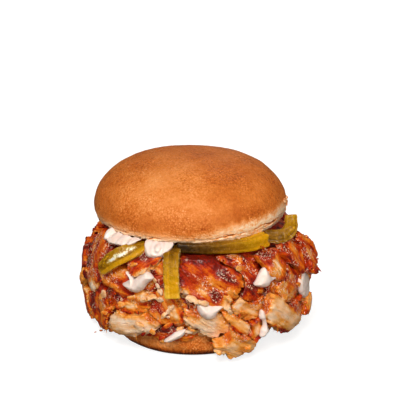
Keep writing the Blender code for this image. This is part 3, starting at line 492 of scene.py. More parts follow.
def crust_material():
    n = Nodes("baked_crust")
    spot = n.place()
    brown = n.attribute("brown")
    broad = n.noise(spot, 0.035, 3.0, 0.5)
    mottled = n.noise(spot, 0.13, 4.0, 0.62)
    fine = n.noise(spot, 0.62, 4.0, 0.70)
    grains = n.cells(spot, 1.05)
    where = n.span(n.noise(spot, 0.045, 2.0), 0.36, 0.60)
    value = n.math("ADD", brown, n.math("MULTIPLY", n.math("SUBTRACT", broad, 0.5), 0.30))
    value = n.math("ADD", value, n.math("MULTIPLY", n.math("SUBTRACT", mottled, 0.5), 0.30))
    value = n.math("ADD", value, n.math("MULTIPLY", n.math("SUBTRACT", fine, 0.5), 0.34))
    pebble = n.math("MULTIPLY", n.math("SUBTRACT", grains, 0.45), n.math("ADD", 0.06, n.math("MULTIPLY", where, 0.28)))
    value = n.math("ADD", value, pebble)
    specks = n.math("MULTIPLY", n.span(n.noise(spot, 1.25, 2.0, 0.5), 0.62, 0.72, 0.0, -0.26), n.span(n.noise(spot, 0.06, 2.0), 0.44, 0.58, 0.25, 1.0))
    value = n.math("ADD", value, specks, clamp=True)
    colour = n.ramp(
        value,
        [
            (0.00, (255, 224, 188)),
            (0.16, (255, 208, 164)),
            (0.32, (248, 178, 118)),
            (0.48, (230, 144, 76)),
            (0.62, (212, 118, 46)),
            (0.76, (188, 92, 26)),
            (0.90, (142, 60, 14)),
            (1.00, (84, 34, 10)),
        ],
    )
    rough = n.span(fine, 0.3, 0.7, 0.36, 0.55)
    height = n.math("ADD", n.math("MULTIPLY", grains, -0.6), n.math("MULTIPLY", fine, 1.2))
    normal = n.bump(height, 0.42)
    normal = n.bump(n.noise(spot, 2.4, 2.0), 0.09, 1.0, normal)
    return n.set(
        Base_Color=colour, Roughness=rough, Normal=normal, Subsurface_Weight=0.05, Subsurface_Radius=(1.0, 0.45, 0.2),
        Subsurface_Scale=0.0012, IOR=1.25,
    )


def crumb_material():
    n = Nodes("bread_crumb")
    spot = n.place()
    value = n.noise(spot, 0.6, 4.0, 0.65)
    colour = n.ramp(value, [(0.25, (226, 178, 122)), (0.55, (243, 214, 170)), (0.8, (250, 232, 200))])
    holes = n.cells(spot, 0.55)
    normal = n.bump(n.math("ADD", holes, value), 0.5)
    return n.set(
        Base_Color=colour, Roughness=0.85, Normal=normal, Subsurface_Weight=0.15, Subsurface_Radius=(1.0, 0.7, 0.4),
        Subsurface_Scale=0.002,
    )


def sauce_material():
    n = Nodes("white_sauce")
    spot = n.place()
    value = n.noise(spot, 0.16, 3.0, 0.5)
    colour = n.ramp(value, [(0.30, (228, 203, 190)), (0.50, (236, 219, 210)), (0.70, (226, 203, 196))])
    flecks = n.noise(spot, 1.3, 2.0)
    colour = n.mix(n.span(flecks, 0.68, 0.78, 0.0, 0.6), colour, lin(214, 160, 112))
    normal = n.bump(n.noise(spot, 0.45, 3.0), 0.30)
    return n.set(
        Base_Color=colour, Roughness=n.span(value, 0.3, 0.7, 0.24, 0.38), Normal=normal, Subsurface_Weight=0.30,
        Subsurface_Radius=(1.0, 0.70, 0.55), Subsurface_Scale=0.0016, Coat_Weight=0.15, Coat_Roughness=0.12, IOR=1.42,
    )


def gherkin_material():
    n = Nodes("gherkin")
    spot = n.place()
    tone = n.attribute("tone")
    flesh_and_glint = n.attribute("flesh_and_glint")
    lines = n.noise(n.attribute("along", vector=True), 1.0, 4.0, 0.65, 0.3)
    mottle = n.noise(spot, 0.42, 4.0, 0.62)
    fine = n.noise(spot, 1.5, 3.0, 0.6)
    value = n.math("ADD", tone, n.math("MULTIPLY", n.math("SUBTRACT", mottle, 0.5), 0.42))
    value = n.math("ADD", value, n.math("MULTIPLY", n.math("SUBTRACT", lines, 0.5), 0.40))
    value = n.math("ADD", value, n.math("MULTIPLY", n.math("SUBTRACT", fine, 0.5), 0.20), clamp=True)
    colour = n.ramp(
        value,
        [
            (0.00, (44, 26, 1)),
            (0.20, (94, 58, 1)),
            (0.42, (148, 100, 4)),
            (0.62, (188, 136, 8)),
            (0.80, (216, 154, 8)),
            (1.00, (230, 186, 62)),
        ],
    )
    # Whitened towards pale flesh, pale skin rims and painted highlight glints.
    pale_flesh_and_glint = n.math("MULTIPLY", n.span(n.math("ADD", flesh_and_glint, n.math("MULTIPLY", n.math("SUBTRACT", fine, 0.5), 2.2)), 0.30, 0.75), 1.0)
    colour = n.mix(pale_flesh_and_glint, colour, n.ramp(flesh_and_glint, [(0.30, (214, 182, 92)), (0.62, (236, 220, 170)), (0.90, (244, 242, 232))]))
    height = n.math("ADD", n.math("ADD", mottle, fine), lines)
    normal = n.bump(height, 0.40)
    return n.set(
        Base_Color=colour, Roughness=n.span(mottle, 0.3, 0.7, 0.16, 0.34), Normal=normal, Subsurface_Weight=0.20,
        Subsurface_Radius=(1.0, 0.8, 0.15), Subsurface_Scale=0.0012, Coat_Weight=0.10, Coat_Roughness=0.07, IOR=1.24,
    )


# ================================================================= the heap's geometry
def waves(seed, count):
    rng = random.Random(seed)
    return [(n, rng.uniform(0.4, 1.0) / math.sqrt(n), rng.uniform(0, math.tau)) for n in range(2, 2 + count)]


def wavy(table, angle):
    return sum(size * np.sin(n * angle + start) for n, size, start in table)


def above_floor(z):
    soft = 1.3
    low = FLOOR_Z + soft * np.log1p(np.exp(np.minimum((z - FLOOR_Z) / soft, 30)))
    return np.where(z > 12, z, low)


def heap_frame(angle, height, distance, roll, tilt):
    a, t, r = math.radians(angle), math.radians(tilt), math.radians(roll)
    out = np.array([math.cos(a), math.sin(a), 0.0])
    level = np.array([-math.sin(a), math.cos(a), 0.0])
    up = np.array([0.0, 0.0, 1.0])
    normal = out * math.cos(t) + up * math.sin(t)
    rise = up * math.cos(t) - out * math.sin(t)
    along = level * math.cos(r) + rise * math.sin(r)
    across = rise * math.cos(r) - level * math.sin(r)
    return out * distance + up * height, along, across, normal, r


class Slice:
    """A shaved slice, held as a distance field in its own bent frame: u along the fibres, v across, w outward."""

    def __init__(self, spec, seed):
        (self.name, angle, height, distance, self.length, self.width, self.thick, roll, tilt, self.tone, self.char, self.ridge,
         self.rag, self.lump, self.edge) = spec
        self.centre, self.along, self.across, self.normal, self.roll = heap_frame(angle, height, distance, roll, tilt)
        self.table = waves(seed, 5)
        self.seed = seed
        self.reach = math.hypot(self.length, self.width) / 2 + 4

    def middle(self, u, v):
        c, s = math.cos(self.roll), math.sin(self.roll)
        level, rise = u * c - v * s, u * s + v * c
        return -0.5 * level * level / 62 - 0.5 * rise * rise / 75 + 0.5 * np.sin(v / 3.0 + self.seed)

    def world(self, u, v, w):
        n = self.middle(u, v) + w
        return self.centre + u[..., None] * self.along + v[..., None] * self.across + n[..., None] * self.normal

    def local(self, points):
        q = points - self.centre
        u, v = q @ self.along, q @ self.across
        return u, v, q @ self.normal - self.middle(u, v)

    def outline(self, u, v):
        a, r = np.arctan2(v, u), np.hypot(u, v)
        rho = (np.abs(np.cos(a) / (self.length / 2)) ** 2.7 + np.abs(np.sin(a) / (self.width / 2)) ** 2.7) ** (-1 / 2.7)
        rho = rho * (1 + 0.085 * wavy(self.table, a))
        return r - rho, r / rho

    def over(self, points):
        """Below zero where this slice lies or would be lain over."""
        u, v, w = self.local(points)
        d, s = self.outline(u, v)
        return smax(d, -w - self.thick * 0.42, 2.0)

    def field(self, u, v, w):
        """The slice as torn sheets that lie on each other, with its fibres and lumps. Also gives the fibres' height."""
        k = self.seed * 3.7
        rng = random.Random(self.seed * 77)
        sheets = SHEETS.get(self.name, 1 if self.thick < 3 else 2)
        d0, s0 = self.outline(u, v)
        half, t = self.thick / 2, self.thick / sheets
        out = np.where((d0 < 0) & (np.abs(w) < half), -3.0, 3.0)
        near = (d0 < 4.2) & (np.abs(w) < half + 2.8) & ~((d0 < -5.0) & (np.abs(w) < half - 2.2))
        ridge = np.zeros(u.shape)
        u, v, w = u[near], v[near], w[near]
        v2 = v + 0.9 * noise(u / 8.0, v / 6.0, k + 30)
        lumps = self.lump * noise(u / 5.2, v / 3.8, w / 3.8 + k + 7)
        best, fibres = np.full(u.shape, 9.0), np.zeros(u.shape)
        for j in range(sheets):
            n = k + 23.0 * j
            if j == 0:
                ou = ov = tu = tv = 0.0
                size = 1.0
            else:
                ou, ov = rng.uniform(-0.05, 0.05) * self.length, rng.uniform(-0.09, 0.09) * self.width
                size = 1.03 + 0.05 * j + rng.uniform(0, 0.05)
                tu, tv = rng.uniform(-0.03, 0.03), rng.uniform(-0.05, 0.05)
            d, s = self.outline((u - ou) / size, (v - ov) / size)
            d = d * size
            torn = smooth(0.40, 0.95, np.abs(u) / (self.length / 2))
            jag = np.abs(noise(u / 4.2, v / 3.6, n + 3))
            d = d + min(1.0, self.width / 14) * 1.5 * noise(u / 9.0, v / 8.0, n + 70)
            d = d + self.rag * (0.9 * noise(u / 4.6, v / 4.0, n) + 1.3 * smooth(0.18, 0.0, jag) + 0.40 * noise(u / 1.5, v / 1.4, n + 5))
            d = d + self.rag * torn * (1.7 * noise(u / 10.0, v2 / 1.15, n + 9) + 0.5)
            rim = smooth(-4.0, 0.5, d)
            middle = half - (j + 0.5) * t + tu * u + tv * v + 0.5 * noise(u / 8.0, v / 6.0, n + 2)
            if j == 0:
                middle = middle + rim * 1.1 * noise(u / 8.0, v / 8.0, n + 50)
            thin = t / 2 * (1.06 - 0.35 * rim)
            fibre = 0.80 * noise(u / 14.0, v2 / 2.3, w / 6.0 + n) + 0.50 * noise(u / 7.0, v2 / 1.0, w / 3.0 + n + 11)
            gap = smooth(0.82, 1.0, 1 - np.abs(noise(u / 17.0, v2 / 3.4, n + 13)) * 2.6)
            rise = self.ridge * 0.60 * (fibre - 1.2 * gap)
            x = smax(d, np.abs(w - middle) - thin - lumps - rise, 0.45)
            first = x < best
            fibres = np.where(first, fibre - 1.2 * gap, fibres)
            best = smin(best, x, 0.22)
        out[near] = best - 0.08 * noise(u / 1.6, v / 1.0, w / 1.0 + k)
        ridge[near] = fibres
        return out, ridge


def gherkin_path(name, samples):
    """The strip's middle line with, at each sample, its across and outward directions and half width (mm)."""
    points, start, middle, end, thick = GHERKINS[name]
    p = np.array([(d * math.cos(math.radians(a)), d * math.sin(math.radians(a)), z) for a, z, d in points])

    def at(t):
        x = t * (len(p) - 1)
        i = min(int(x), len(p) - 2)
        f = x - i
        p0, p1, p2, p3 = (p[min(max(j, 0), len(p) - 1)] for j in (i - 1, i, i + 1, i + 2))
        return 0.5 * (2 * p1 + (p2 - p0) * f + (2 * p0 - 5 * p1 + 4 * p2 - p3) * f * f + (3 * p1 - p0 - 3 * p2 + p3) * f**3)

    rows = []
    for t in np.linspace(0, 1, samples):
        c, tangent = at(t), at(min(t + 0.02, 1)) - at(max(t - 0.02, 0))
        tangent /= np.linalg.norm(tangent)
        out = np.array([c[0], c[1], 0.0]) / math.hypot(c[0], c[1])
        lie = 0.0 if name == "gherkin_rim" else max(0.0, 1.0 - t / 0.55)
        facing = out * (1 - lie) + np.array([0, 0, 1.0]) * lie
        if name == "gherkin_curled":
            facing = np.array([0.30, -0.86, 0.41])
        across = np.cross(facing, tangent)
        across /= np.linalg.norm(across)
        normal = np.cross(tangent, across)
        half = start * (1 - t) * (1 - 2 * t) + middle * 4 * t * (1 - t) + end * t * (2 * t - 1)
        rows.append((c, across, normal, half, tangent))
    return rows, thick


class GherkinSpace:
    """The space that a strip of gherkin takes up, and all that would lie over it."""

    def __init__(self, name):
        rows, self.thick = gherkin_path(name, 26)
        self.c = np.array([r[0] for r in rows])
        self.a = np.array([r[1] for r in rows])
        self.n = np.array([r[2] for r in rows])
        self.h = np.array([r[3] for r in rows])
        self.t = np.array([r[4] for r in rows])
        self.centre = self.c.mean(0)
        self.reach = np.linalg.norm(self.c - self.centre, axis=1).max() + 8

    def over(self, points):
        shape = points.shape[:-1]
        q = points.reshape(-1, 3)
        best = np.full(len(q), 1e9)
        which = np.zeros(len(q), int)
        for k, c in enumerate(self.c):
            d = ((q - c) ** 2).sum(1)
            better = d < best
            best[better], which[better] = d[better], k
        d = q - self.c[which]
        a = np.abs((d * self.a[which]).sum(1)) - self.h[which]
        b = -(d * self.n[which]).sum(1) - self.thick
        e = np.abs((d * self.t[which]).sum(1)) - 1.2
        return np.maximum(smax(a, b, 1.0), e).reshape(shape)


class BunSpace:
    """The top bun's space."""

    centre, reach = np.array([0, 0, 82.0]), 62.0

    def over(self, points):
        r = np.hypot(points[..., 0], points[..., 1])
        z = points[..., 2]
        flare = np.clip((z - 64.4) / 5.5, 0, 1)
        return np.maximum(r - 51.3 - 1.6 * np.sqrt(flare), 64.2 - z)


def slice_parts(piece, step, spaces):
    """The slice's points, faces and colour values, clear of the pieces that lie over it."""
    L, W, T = piece.length / 2 * 1.22 + 2.5, piece.width / 2 * 1.22 + 2.5, piece.thick / 2 + 3.0
    axes = [np.arange(-n, n + step, step) for n in (L, W, T)]
    u, v, w = np.meshgrid(*axes, indexing="ij")
    field, ridge = piece.field(u, v, w)
    close = field < 2.9
    p = piece.world(u[close], v[close], w[close])
    f = field[close]
    cut = np.full(f.shape, -9.0)
    for other in spaces:
        if np.linalg.norm(other.centre - piece.centre) > other.reach + piece.reach:
            continue
        cut = np.maximum(cut, -other.over(p))
    field[close] = smax(f, cut + 0.1, 0.5)
    under = np.full(field.shape, -9.0)
    under[close] = cut
    field[0], field[-1], field[:, 0], field[:, -1], field[:, :, 0], field[:, :, -1] = (1.0,) * 6
    verts, faces = surface(field, step, [a[0] for a in axes])
    verts, faces = largest(verts, faces)
    u, v, w = verts.T
    at = tuple(np.clip(np.round((verts[:, k] - axes[k][0]) / step).astype(int), 1, field.shape[k] - 2) for k in range(3))
    normal = np.stack([field[at[0] + 1, at[1], at[2]] - field[at[0] - 1, at[1], at[2]],
                       field[at[0], at[1] + 1, at[2]] - field[at[0], at[1] - 1, at[2]],
                       field[at[0], at[1], at[2] + 1] - field[at[0], at[1], at[2] - 1]], 1)
    normal /= np.linalg.norm(normal, axis=1)[:, None] + 1e-9
    k = piece.seed * 3.7
    d, s = piece.outline(u, v)
    face = smooth(0.25, 0.70, np.abs(normal[:, 2]))
    fibre = np.clip(ridge[at], -1.2, 1.0)
    even = 0.45 + 0.55 * smooth(0.05, 0.40, piece.tone)
    tone = piece.tone + even * (0.24 * noise(u / 10, v / 5.0, k + 40) + 0.12 * noise(u / 5, v / 1.9, k + 41) - 0.10 * fibre)
    wet = 0.42 + 0.62 * noise(u / 5, v / 4, k + 60)
    for mu, mv, ru, rv, more, wetter in MARKS.get(piece.name, []):
        wave = 0.35 * noise(u / 3, v / 3, k + mu)
        share = smooth(1.25, 0.45, np.sqrt(((u - mu) / ru) ** 2 + ((v - mv) / rv) ** 2) + wave)
        tone, wet = tone + more * share, wet + wetter * share
    rim = smooth(-4.0, 0.2, d) * (0.25 + 0.75 * smooth(-0.3, 0.5, noise(u / 7, v / 7, k + 42)))
    spots = smooth(0.25, 0.62, noise(u / 4.0, v / 2.8, k + 43))
    tone = tone + piece.char * (0.22 * rim + 0.16 * spots)
    lift = normal @ np.array([piece.along[2], piece.across[2], piece.normal[2]])
    edge = piece.edge + 0.12 * noise(u / 3, v / 3, w / 2 + k)
    edge = edge + (np.maximum(tone, edge) - edge) * smooth(0.0, 0.6, lift)
    roast = edge * (1 - face) + tone * face
    # Painted shade: darker and redder where another piece lies over this one, as in its shade; it is also made wetter
    # there.
    tucked = smooth(-2.8, -0.4, under[at]) * (0.6 + 0.8 * smooth(-0.4, 0.5, noise(u / 2.5, v / 2.5, k + 80)))
    roast = np.clip(roast + 0.16 * tucked, 0, 0.76)
    wet = wet + 0.3 * tucked
    place = piece.world(u, v, w)
    place[:, 2] = above_floor(place[:, 2])
    along = np.stack([u, v, w], 1) + piece.seed * 7.3
    return place, faces, {"roast": roast, "wet": np.clip(wet, 0, 1), "along": along}


class Joined:
    """Small meshes gathered into one piece."""

    def __init__(self):
        self.points, self.quads, self.tris, self.values, self.count = [], [], [], {}, 0

    def take(self, points, quads, tris, values):
        self.points.append(points)
        self.quads.append(quads + self.count)
        self.tris.append(tris + self.count)
        for key, value in values.items():
            self.values.setdefault(key, []).append(value)
        self.count += len(points)

    def finish(self, name, material):
        none = np.zeros((0, 3), int)
        tris = np.concatenate(self.tris) if self.tris else none
        values = {key: np.concatenate(value) for key, value in self.values.items()}
        return build_mixed(name, np.concatenate(self.points), np.concatenate(self.quads), tris, material, values)


def strand(start, along, bend, length, radius, rng, flat=0.6, rows=7, sides=6):
    """A torn fibre: a thin tapering tube from start, curved towards bend. Points, quads and tris."""
    t = np.linspace(0, 1, rows)
    side = np.cross(along, bend)
    side /= np.linalg.norm(side) + 1e-9
    over = np.cross(side, along)
    wave = 0.06 * length * np.sin(t * rng.uniform(3, 7) + rng.uniform(0, 6)) * t
    path = start + along * (length * t)[:, None] + bend * (length * t**2)[:, None] + side * wave[:, None]
    size = radius * (1 - 0.80 * t**1.6) * np.array([rng.uniform(0.8, 1.25) for _ in t])
    a = np.linspace(0, math.tau, sides, endpoint=False)
    ring = np.cos(a)[None, :, None] * side * size[:, None, None] + np.sin(a)[None, :, None] * over * size[:, None, None] * flat
    points = np.concatenate([(path[:, None, :] + ring).reshape(-1, 3), path[:1], path[-1:] + along * radius * 0.3])
    i = np.arange(sides)
    n = (i + 1) % sides
    m, last = rows * sides, (rows - 1) * sides
    tris = np.concatenate([np.stack([n, i, np.full(sides, m)], 1), np.stack([last + i, last + n, np.full(sides, m + 1)], 1)])
    return points, grid_faces(rows, sides), tris


class Skin:
    """How far out the heap's surface lies at each angle and height."""

    def __init__(self):
        self.r = np.zeros((360, 70))

    def take(self, points):
        r = np.hypot(points[:, 0], points[:, 1])
        a = np.round(np.degrees(np.arctan2(points[:, 1], points[:, 0]))).astype(int) % 360
        z = np.clip(np.round(points[:, 2]).astype(int), 0, 69)
        np.maximum.at(self.r, (a, z), r)

    def at(self, angle, height):
        a, z = int(round(angle)) % 360, int(round(height))
        r = self.r[[(a - 1) % 360, a, (a + 1) % 360], max(z - 1, 0) : z + 2]
        r = r[r > 0]
        return float(np.median(r)) if len(r) else 0.0


def largest(verts, faces):
    """Keeps the biggest joined part."""
    label = np.arange(len(verts))
    while True:
        low = label[faces].min(1)
        new = label.copy()
        np.minimum.at(new, faces.ravel(), np.repeat(low, faces.shape[1]))
        new = new[new]
        if (new == label).all():
            break
        label = new
    ids, counts = np.unique(label, return_counts=True)
    keep = label == ids[counts.argmax()]
    index = np.cumsum(keep) - 1
    return verts[keep], index[faces[keep[faces].all(1)]]


# ================================================================= pieces
def make_slices(meat):
    """The shaved slices, each clear of those that lie over it, and the torn fibres at their ends."""
    spaces = [BunSpace()] + [GherkinSpace(name) for name in GHERKINS]
    step = 0.5
    skin, fringe = Skin(), Joined()
    for seed, spec in enumerate(SHOWN + FAR, 101):
        piece = Slice(spec, seed)
        place, faces, values = slice_parts(piece, step if seed < 101 + len(SHOWN) else step * 1.45, spaces)
        add(build(piece.name + "_slice", place, faces, meat, values), "chicken", piece.name)
        spaces.append(piece)
        skin.take(place)
        rng = random.Random(seed * 5)
        u, v, w = piece.local(place)
        d, s = piece.outline(u, v)
        ends = np.nonzero((d > -2.2) & (w > -0.1 * piece.thick))[0]
        for _ in range(int(1 + piece.rag * 4) + (6 if piece.name == "chicken_right_outer" else 0)):
            if not len(ends):
                break
            i = ends[rng.randrange(len(ends))]
            if place[i, 2] > (49.0 if seed < 101 + len(SHOWN) else 62.5) or place[i, 2] < 2.5:
                continue
            torn = abs(u[i]) / (piece.length / 2)
            way = piece.along * math.copysign(1.0, u[i]) if torn > 0.6 else piece.across * math.copysign(1.0, v[i])
            way = way + piece.across * rng.uniform(-0.45, 0.45) + piece.normal * rng.uniform(-0.1, 0.35)
            way /= np.linalg.norm(way)
            bend = np.array([0, 0, -1.0]) * rng.uniform(0.05, 0.45) + piece.across * rng.uniform(-0.4, 0.4)
            length = rng.uniform(1.4, 3.2) + (rng.uniform(0, 2.2) if torn > 0.6 else 0)
            points, quads, tris = strand(place[i] - way * 0.8, way, bend, length, rng.uniform(0.28, 0.62), rng)
            points[:, 2] = above_floor(points[:, 2])
            m = len(points)
            roast = np.clip(values["roast"][i] + rng.uniform(-0.15, 0.25), 0, 1)
            fringe.take(points, quads, tris, {"roast": np.full(m, roast), "wet": np.full(m, 0.5), "along": points * 1.0})
    add(fringe.finish("torn_fibres", meat), "chicken")
    return spaces, skin


# Torn bits that the heap shows in front: angle, height, length, width, roll, roast, lifted (mm).
BITS = [
    (259.5, 31.5, 4.2, 2.6, 60, 0.03, 1.2), (257.6, 29.0, 5.0, 2.4, 40, 0.06, 1.2), (261.0, 33.5, 4.6, 1.8, 70, 0.02, 1.3),
    (256.0, 26.6, 4.0, 2.2, 20, 0.10, 1.0), (258.4, 27.0, 3.0, 1.8, -30, 0.04, 1.0),
    (268.0, 17.5, 7.0, 3.2, -10, 0.05, 1.0), (272.5, 16.0, 6.0, 2.8, 15, 0.12, 1.2), (276.5, 14.5, 5.5, 2.6, -20, 0.16, 1.0),
    (264.0, 19.0, 5.0, 2.4, 30, 0.20, 1.0), (270.0, 20.0, 4.5, 2.5, -40, 0.30, 1.0),
    (266.6, 41.4, 8.0, 2.8, -30, 0.06, 1.6), (271.0, 39.0, 8.5, 3.4, -27, 0.10, 1.8), (275.6, 37.0, 7.5, 3.2, -26, 0.08, 1.6),
    (268.8, 37.6, 6.5, 2.4, -20, 0.10, 1.4), (288.0, 38.4, 5.5, 2.6, -70, 0.22, 1.0), (290.8, 41.6, 5.0, 2.2, -60, 0.28, 1.0),
    (286.5, 33.2, 5.0, 3.0, -50, 0.08, 1.2), (288.5, 30.4, 4.5, 2.4, -60, 0.06, 1.2),
    (252.0, 47.6, 4.6, 2.0, -60, 0.05, 1.2), (253.4, 44.0, 5.0, 2.4, -70, 0.04, 1.3), (254.8, 40.6, 4.6, 2.4, -50, 0.05, 1.2),
    (251.0, 37.4, 6.0, 3.0, 20, 0.10, 1.0), (255.0, 36.4, 4.0, 2.8, -20, 0.06, 1.0), (247.0, 35.6, 4.6, 2.6, 14, 0.14, 1.0),
    (240.0, 35.6, 5.0, 3.0, 20, 0.30, 0.8), (233.5, 30.0, 5.5, 3.0, -20, 0.28, 0.9), (228.0, 34.4, 5.0, 2.4, 30, 0.62, 0.8),
    (222.0, 33.0, 6.0, 3.4, 50, 0.14, 0.8), (218.0, 29.5, 5.0, 3.0, 60, 0.20, 0.8),
    (287.0, 38.5, 6.0, 2.6, -40, 0.16, 0.7), (293.0, 53.5, 5.0, 3.0, -20, 0.22, 0.7), (304.0, 39.0, 4.6, 2.6, -20, 0.30, 0.8),
    (295.0, 29.5, 5.5, 2.6, -40, 0.40, 0.8), (312.0, 49.0, 4.6, 2.6, -50, 0.16, 0.5), (317.0, 33.0, 5.2, 3.0, -10, 0.26, 0.8),
    (328.0, 35.5, 4.2, 2.4, -40, 0.30, 0.8), (309.0, 13.0, 5.5, 2.4, 10, 0.74, 0.6), (313.0, 12.5, 6.0, 2.2, 5, 0.76, 0.6),
    (318.0, 13.0, 5.0, 2.0, 0, 0.74, 0.6), (297.5, 9.0, 5.0, 2.8, -20, 0.30, 0.8), (284.5, 8.0, 4.6, 3.0, 10, 0.10, 0.8),
    (282.0, 10.5, 4.6, 3.0, -30, 0.08, 0.9), (303.0, 12.0, 4.2, 2.2, 40, 0.50, 0.8), (215.0, 38.0, 5.0, 3.0, 70, 0.45, 0.5),
    (220.5, 21.0, 5.0, 2.6, 10, 0.36, 0.9), (249.0, 14.5, 4.8, 2.6, -20, 0.66, 0.9), (253.5, 12.5, 4.4, 2.4, 30, 0.58, 0.9),
    (246.0, 17.0, 4.4, 2.6, 50, 0.70, 0.8), (251.0, 18.5, 4.8, 2.4, -40, 0.30, 0.9), (258.0, 21.5, 5.5, 2.6, 30, 0.50, 0.8),
    (241.0, 53.6, 5.0, 2.2, 30, 0.26, 0.6), (247.0, 51.6, 4.6, 2.0, 40, 0.16, 0.7),
]


def make_scraps(meat, skin, covered):
    """Torn bits and crumbs of the meat over the joints of the slices, and a few that fell off."""
    scraps = Joined()
    rng = random.Random(404)
    step = 0.42
    wanted = [b + (0.0,) for b in BITS]
    tries = 0
    while len(wanted) < len(BITS) + 84 and tries < 5000:
        tries += 1
        angle, height = rng.uniform(0, 360), rng.uniform(9, 61)
        front = 205 < angle < 345
        if front and rng.random() < 0.90:
            continue
        r = skin.at(angle, height)
        if r < 51 or covered.at(angle, height) > r - 2.5:
            continue
        length = rng.uniform(2.2, 6.5)
        roast = rng.choice([0.06, 0.15, 0.25, 0.35, 0.45, 0.5, 0.55, 0.62, 0.7, 0.8]) + rng.uniform(-0.05, 0.05)
        wanted.append((angle, height, length, length * rng.uniform(0.40, 0.75), rng.uniform(-80, 80), roast, rng.uniform(0.1, 0.7), 0.0))
    for number, (angle, height, length, width, roll, roast, lift, _) in enumerate(wanted):
        r = skin.at(angle, height)
        if not r:
            continue
        thick = min(2.6, 0.9 + 0.28 * width)
        spec = ("scrap", angle, height, r + lift * 0.8 - 0.4, length, width, thick, roll, rng.uniform(-25, 25), roast, 0.3, 0.30, 0.55, 0.35,
                max(0.05, roast - 0.2))
        piece = Slice(spec, 900 + number)
        place, faces, values = slice_parts(piece, step, [])
        place[:, 2] = above_floor(place[:, 2])
        if place[:, 2].max() > 64.0 or len(faces) < 12:
            continue
        values["along"] = values["along"] - 900 * 7.0
        scraps.take(place, faces, np.zeros((0, 3), int), values)
    for x, y, size in ((-49.6, -16.9, 1.0), (-52.6, -18.4, 0.6)):
        points, quads, tris = chip(np.array([x, y, 0.45 * size]), np.array([size, 0.2, 0]), np.array([0, 0.7 * size, 0]), np.array([0, 0, 0.45 * size]), rng)
        points[:, 2] = np.maximum(points[:, 2], 0.02)
        many = len(points)
        scraps.take(points, quads, tris, {"roast": np.full(many, 0.42), "wet": np.full(many, 0.3), "along": points * 1.0})
    add(scraps.finish("torn_bits", meat), "chicken")


def make_middle(meat, spaces):
    """The meat behind the slices: an uneven, ridged wall with its own top and bottom."""
    columns, rows = ((330, 72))
    a = np.linspace(0, math.tau, columns, endpoint=False)
    t = np.linspace(0, 1, rows)
    levels = np.array([17.3, 19.5, 28.0, 38.0, 48.0, 56.0, 61.5, 64.25])
    shares = np.array([0.90, 0.965, 1.0, 1.0, 0.985, 0.93, 0.86, 0.80])
    low, high = waves(31, 6), waves(32, 6)
    z = 17.3 + (64.25 - 17.3) * t
    A, Z = np.meshgrid(a, z)
    r = 53.0 * np.interp(Z, levels, shares)
    side = np.clip((Z - 17.3) / 8, 0, 1)
    mix = (Z - 17.3) / (64.25 - 17.3)
    r = r + side * (2.2 * np.cos(A) + 0.9 * ((1 - mix) * wavy(low, A) + mix * wavy(high, A)))
    # It reaches out behind the slices that lie farther from the axis.
    r = r + side * np.interp(np.degrees(A) % 360, REACH[0], REACH[1]) * np.clip((58.5 - Z) / 7, 0, 1)
    x, y = r * np.cos(A), r * np.sin(A)
    lump = 1.1 * noise(x / 7, y / 7, Z / 5) + 0.7 * noise(x / 3, y / 3, Z / 1.8) + 0.35 * noise(x / 1.3, y / 1.3, Z / 1.1)
    crease = smooth(0.7, 1.0, 1 - np.abs(noise(x / 9, y / 9, Z / 5 + 7)) * 2.4)
    r2 = r - 0.9 + lump - 1.4 * crease
    top = smooth(60, 64.25, Z)
    Z2 = Z + 0.6 * top + 0.3 * (1 - top) * noise(x / 4, y / 4, Z / 4 + 3)
    place = np.stack([r2 * np.cos(A), r2 * np.sin(A), Z2], -1).reshape(-1, 3)
    faces = grid_faces(rows, columns)
    rings, inner = [], 12
    for last, zc in ((0, 17.3), (rows - 1, 64.85)):
        base = len(place)
        edge = place[last * columns : (last + 1) * columns]
        ring = []
        for k in range(1, inner):
            f = 1 - k / inner
            q = edge * [f, f, 0] + [0, 0, zc]
            q[:, 2] += 0.35 * noise(q[:, 0] / 4, q[:, 1] / 4, zc) * min(1, k / 2)
            q[:, 2] = np.minimum(q[:, 2], 64.95)
            ring.append(q)
        place = np.concatenate([place] + ring + [np.array([[0, 0, zc]])])
        prev = last * columns + np.arange(columns)
        for k in range(inner - 1):
            now = base + k * columns + np.arange(columns)
            n1, n2 = np.roll(prev, -1), np.roll(now, -1)
            quad = np.stack([prev, n1, n2, now], 1)
            faces = np.concatenate([faces, quad[:, ::-1] if last == 0 else quad])
            prev = now
        hub = len(place) - 1
        n1 = np.roll(prev, -1)
        tri = np.stack([prev, n1, np.full(columns, hub), np.full(columns, hub)], 1)
        rings.append((tri[:, :3] if last else tri[:, [1, 0, 2]]))
    # Painted shade: the meat behind is given a dark roast, so that the gaps between the slices look dark.
    roast = np.zeros(len(place)) + 0.62
    x, y, z = place.T
    roast = roast + 0.20 * noise(x / 6, y / 6, z / 4) + 0.14 * noise(x / 2.2, y / 2.2, z / 1.6 + 4)
    obj = build_mixed("meat_behind", place, faces, np.concatenate(rings), meat, {"roast": np.clip(roast, 0, 1), "wet": roast * 0 + 0.5, "along": place})
    add(obj, "chicken", "chicken_middle")


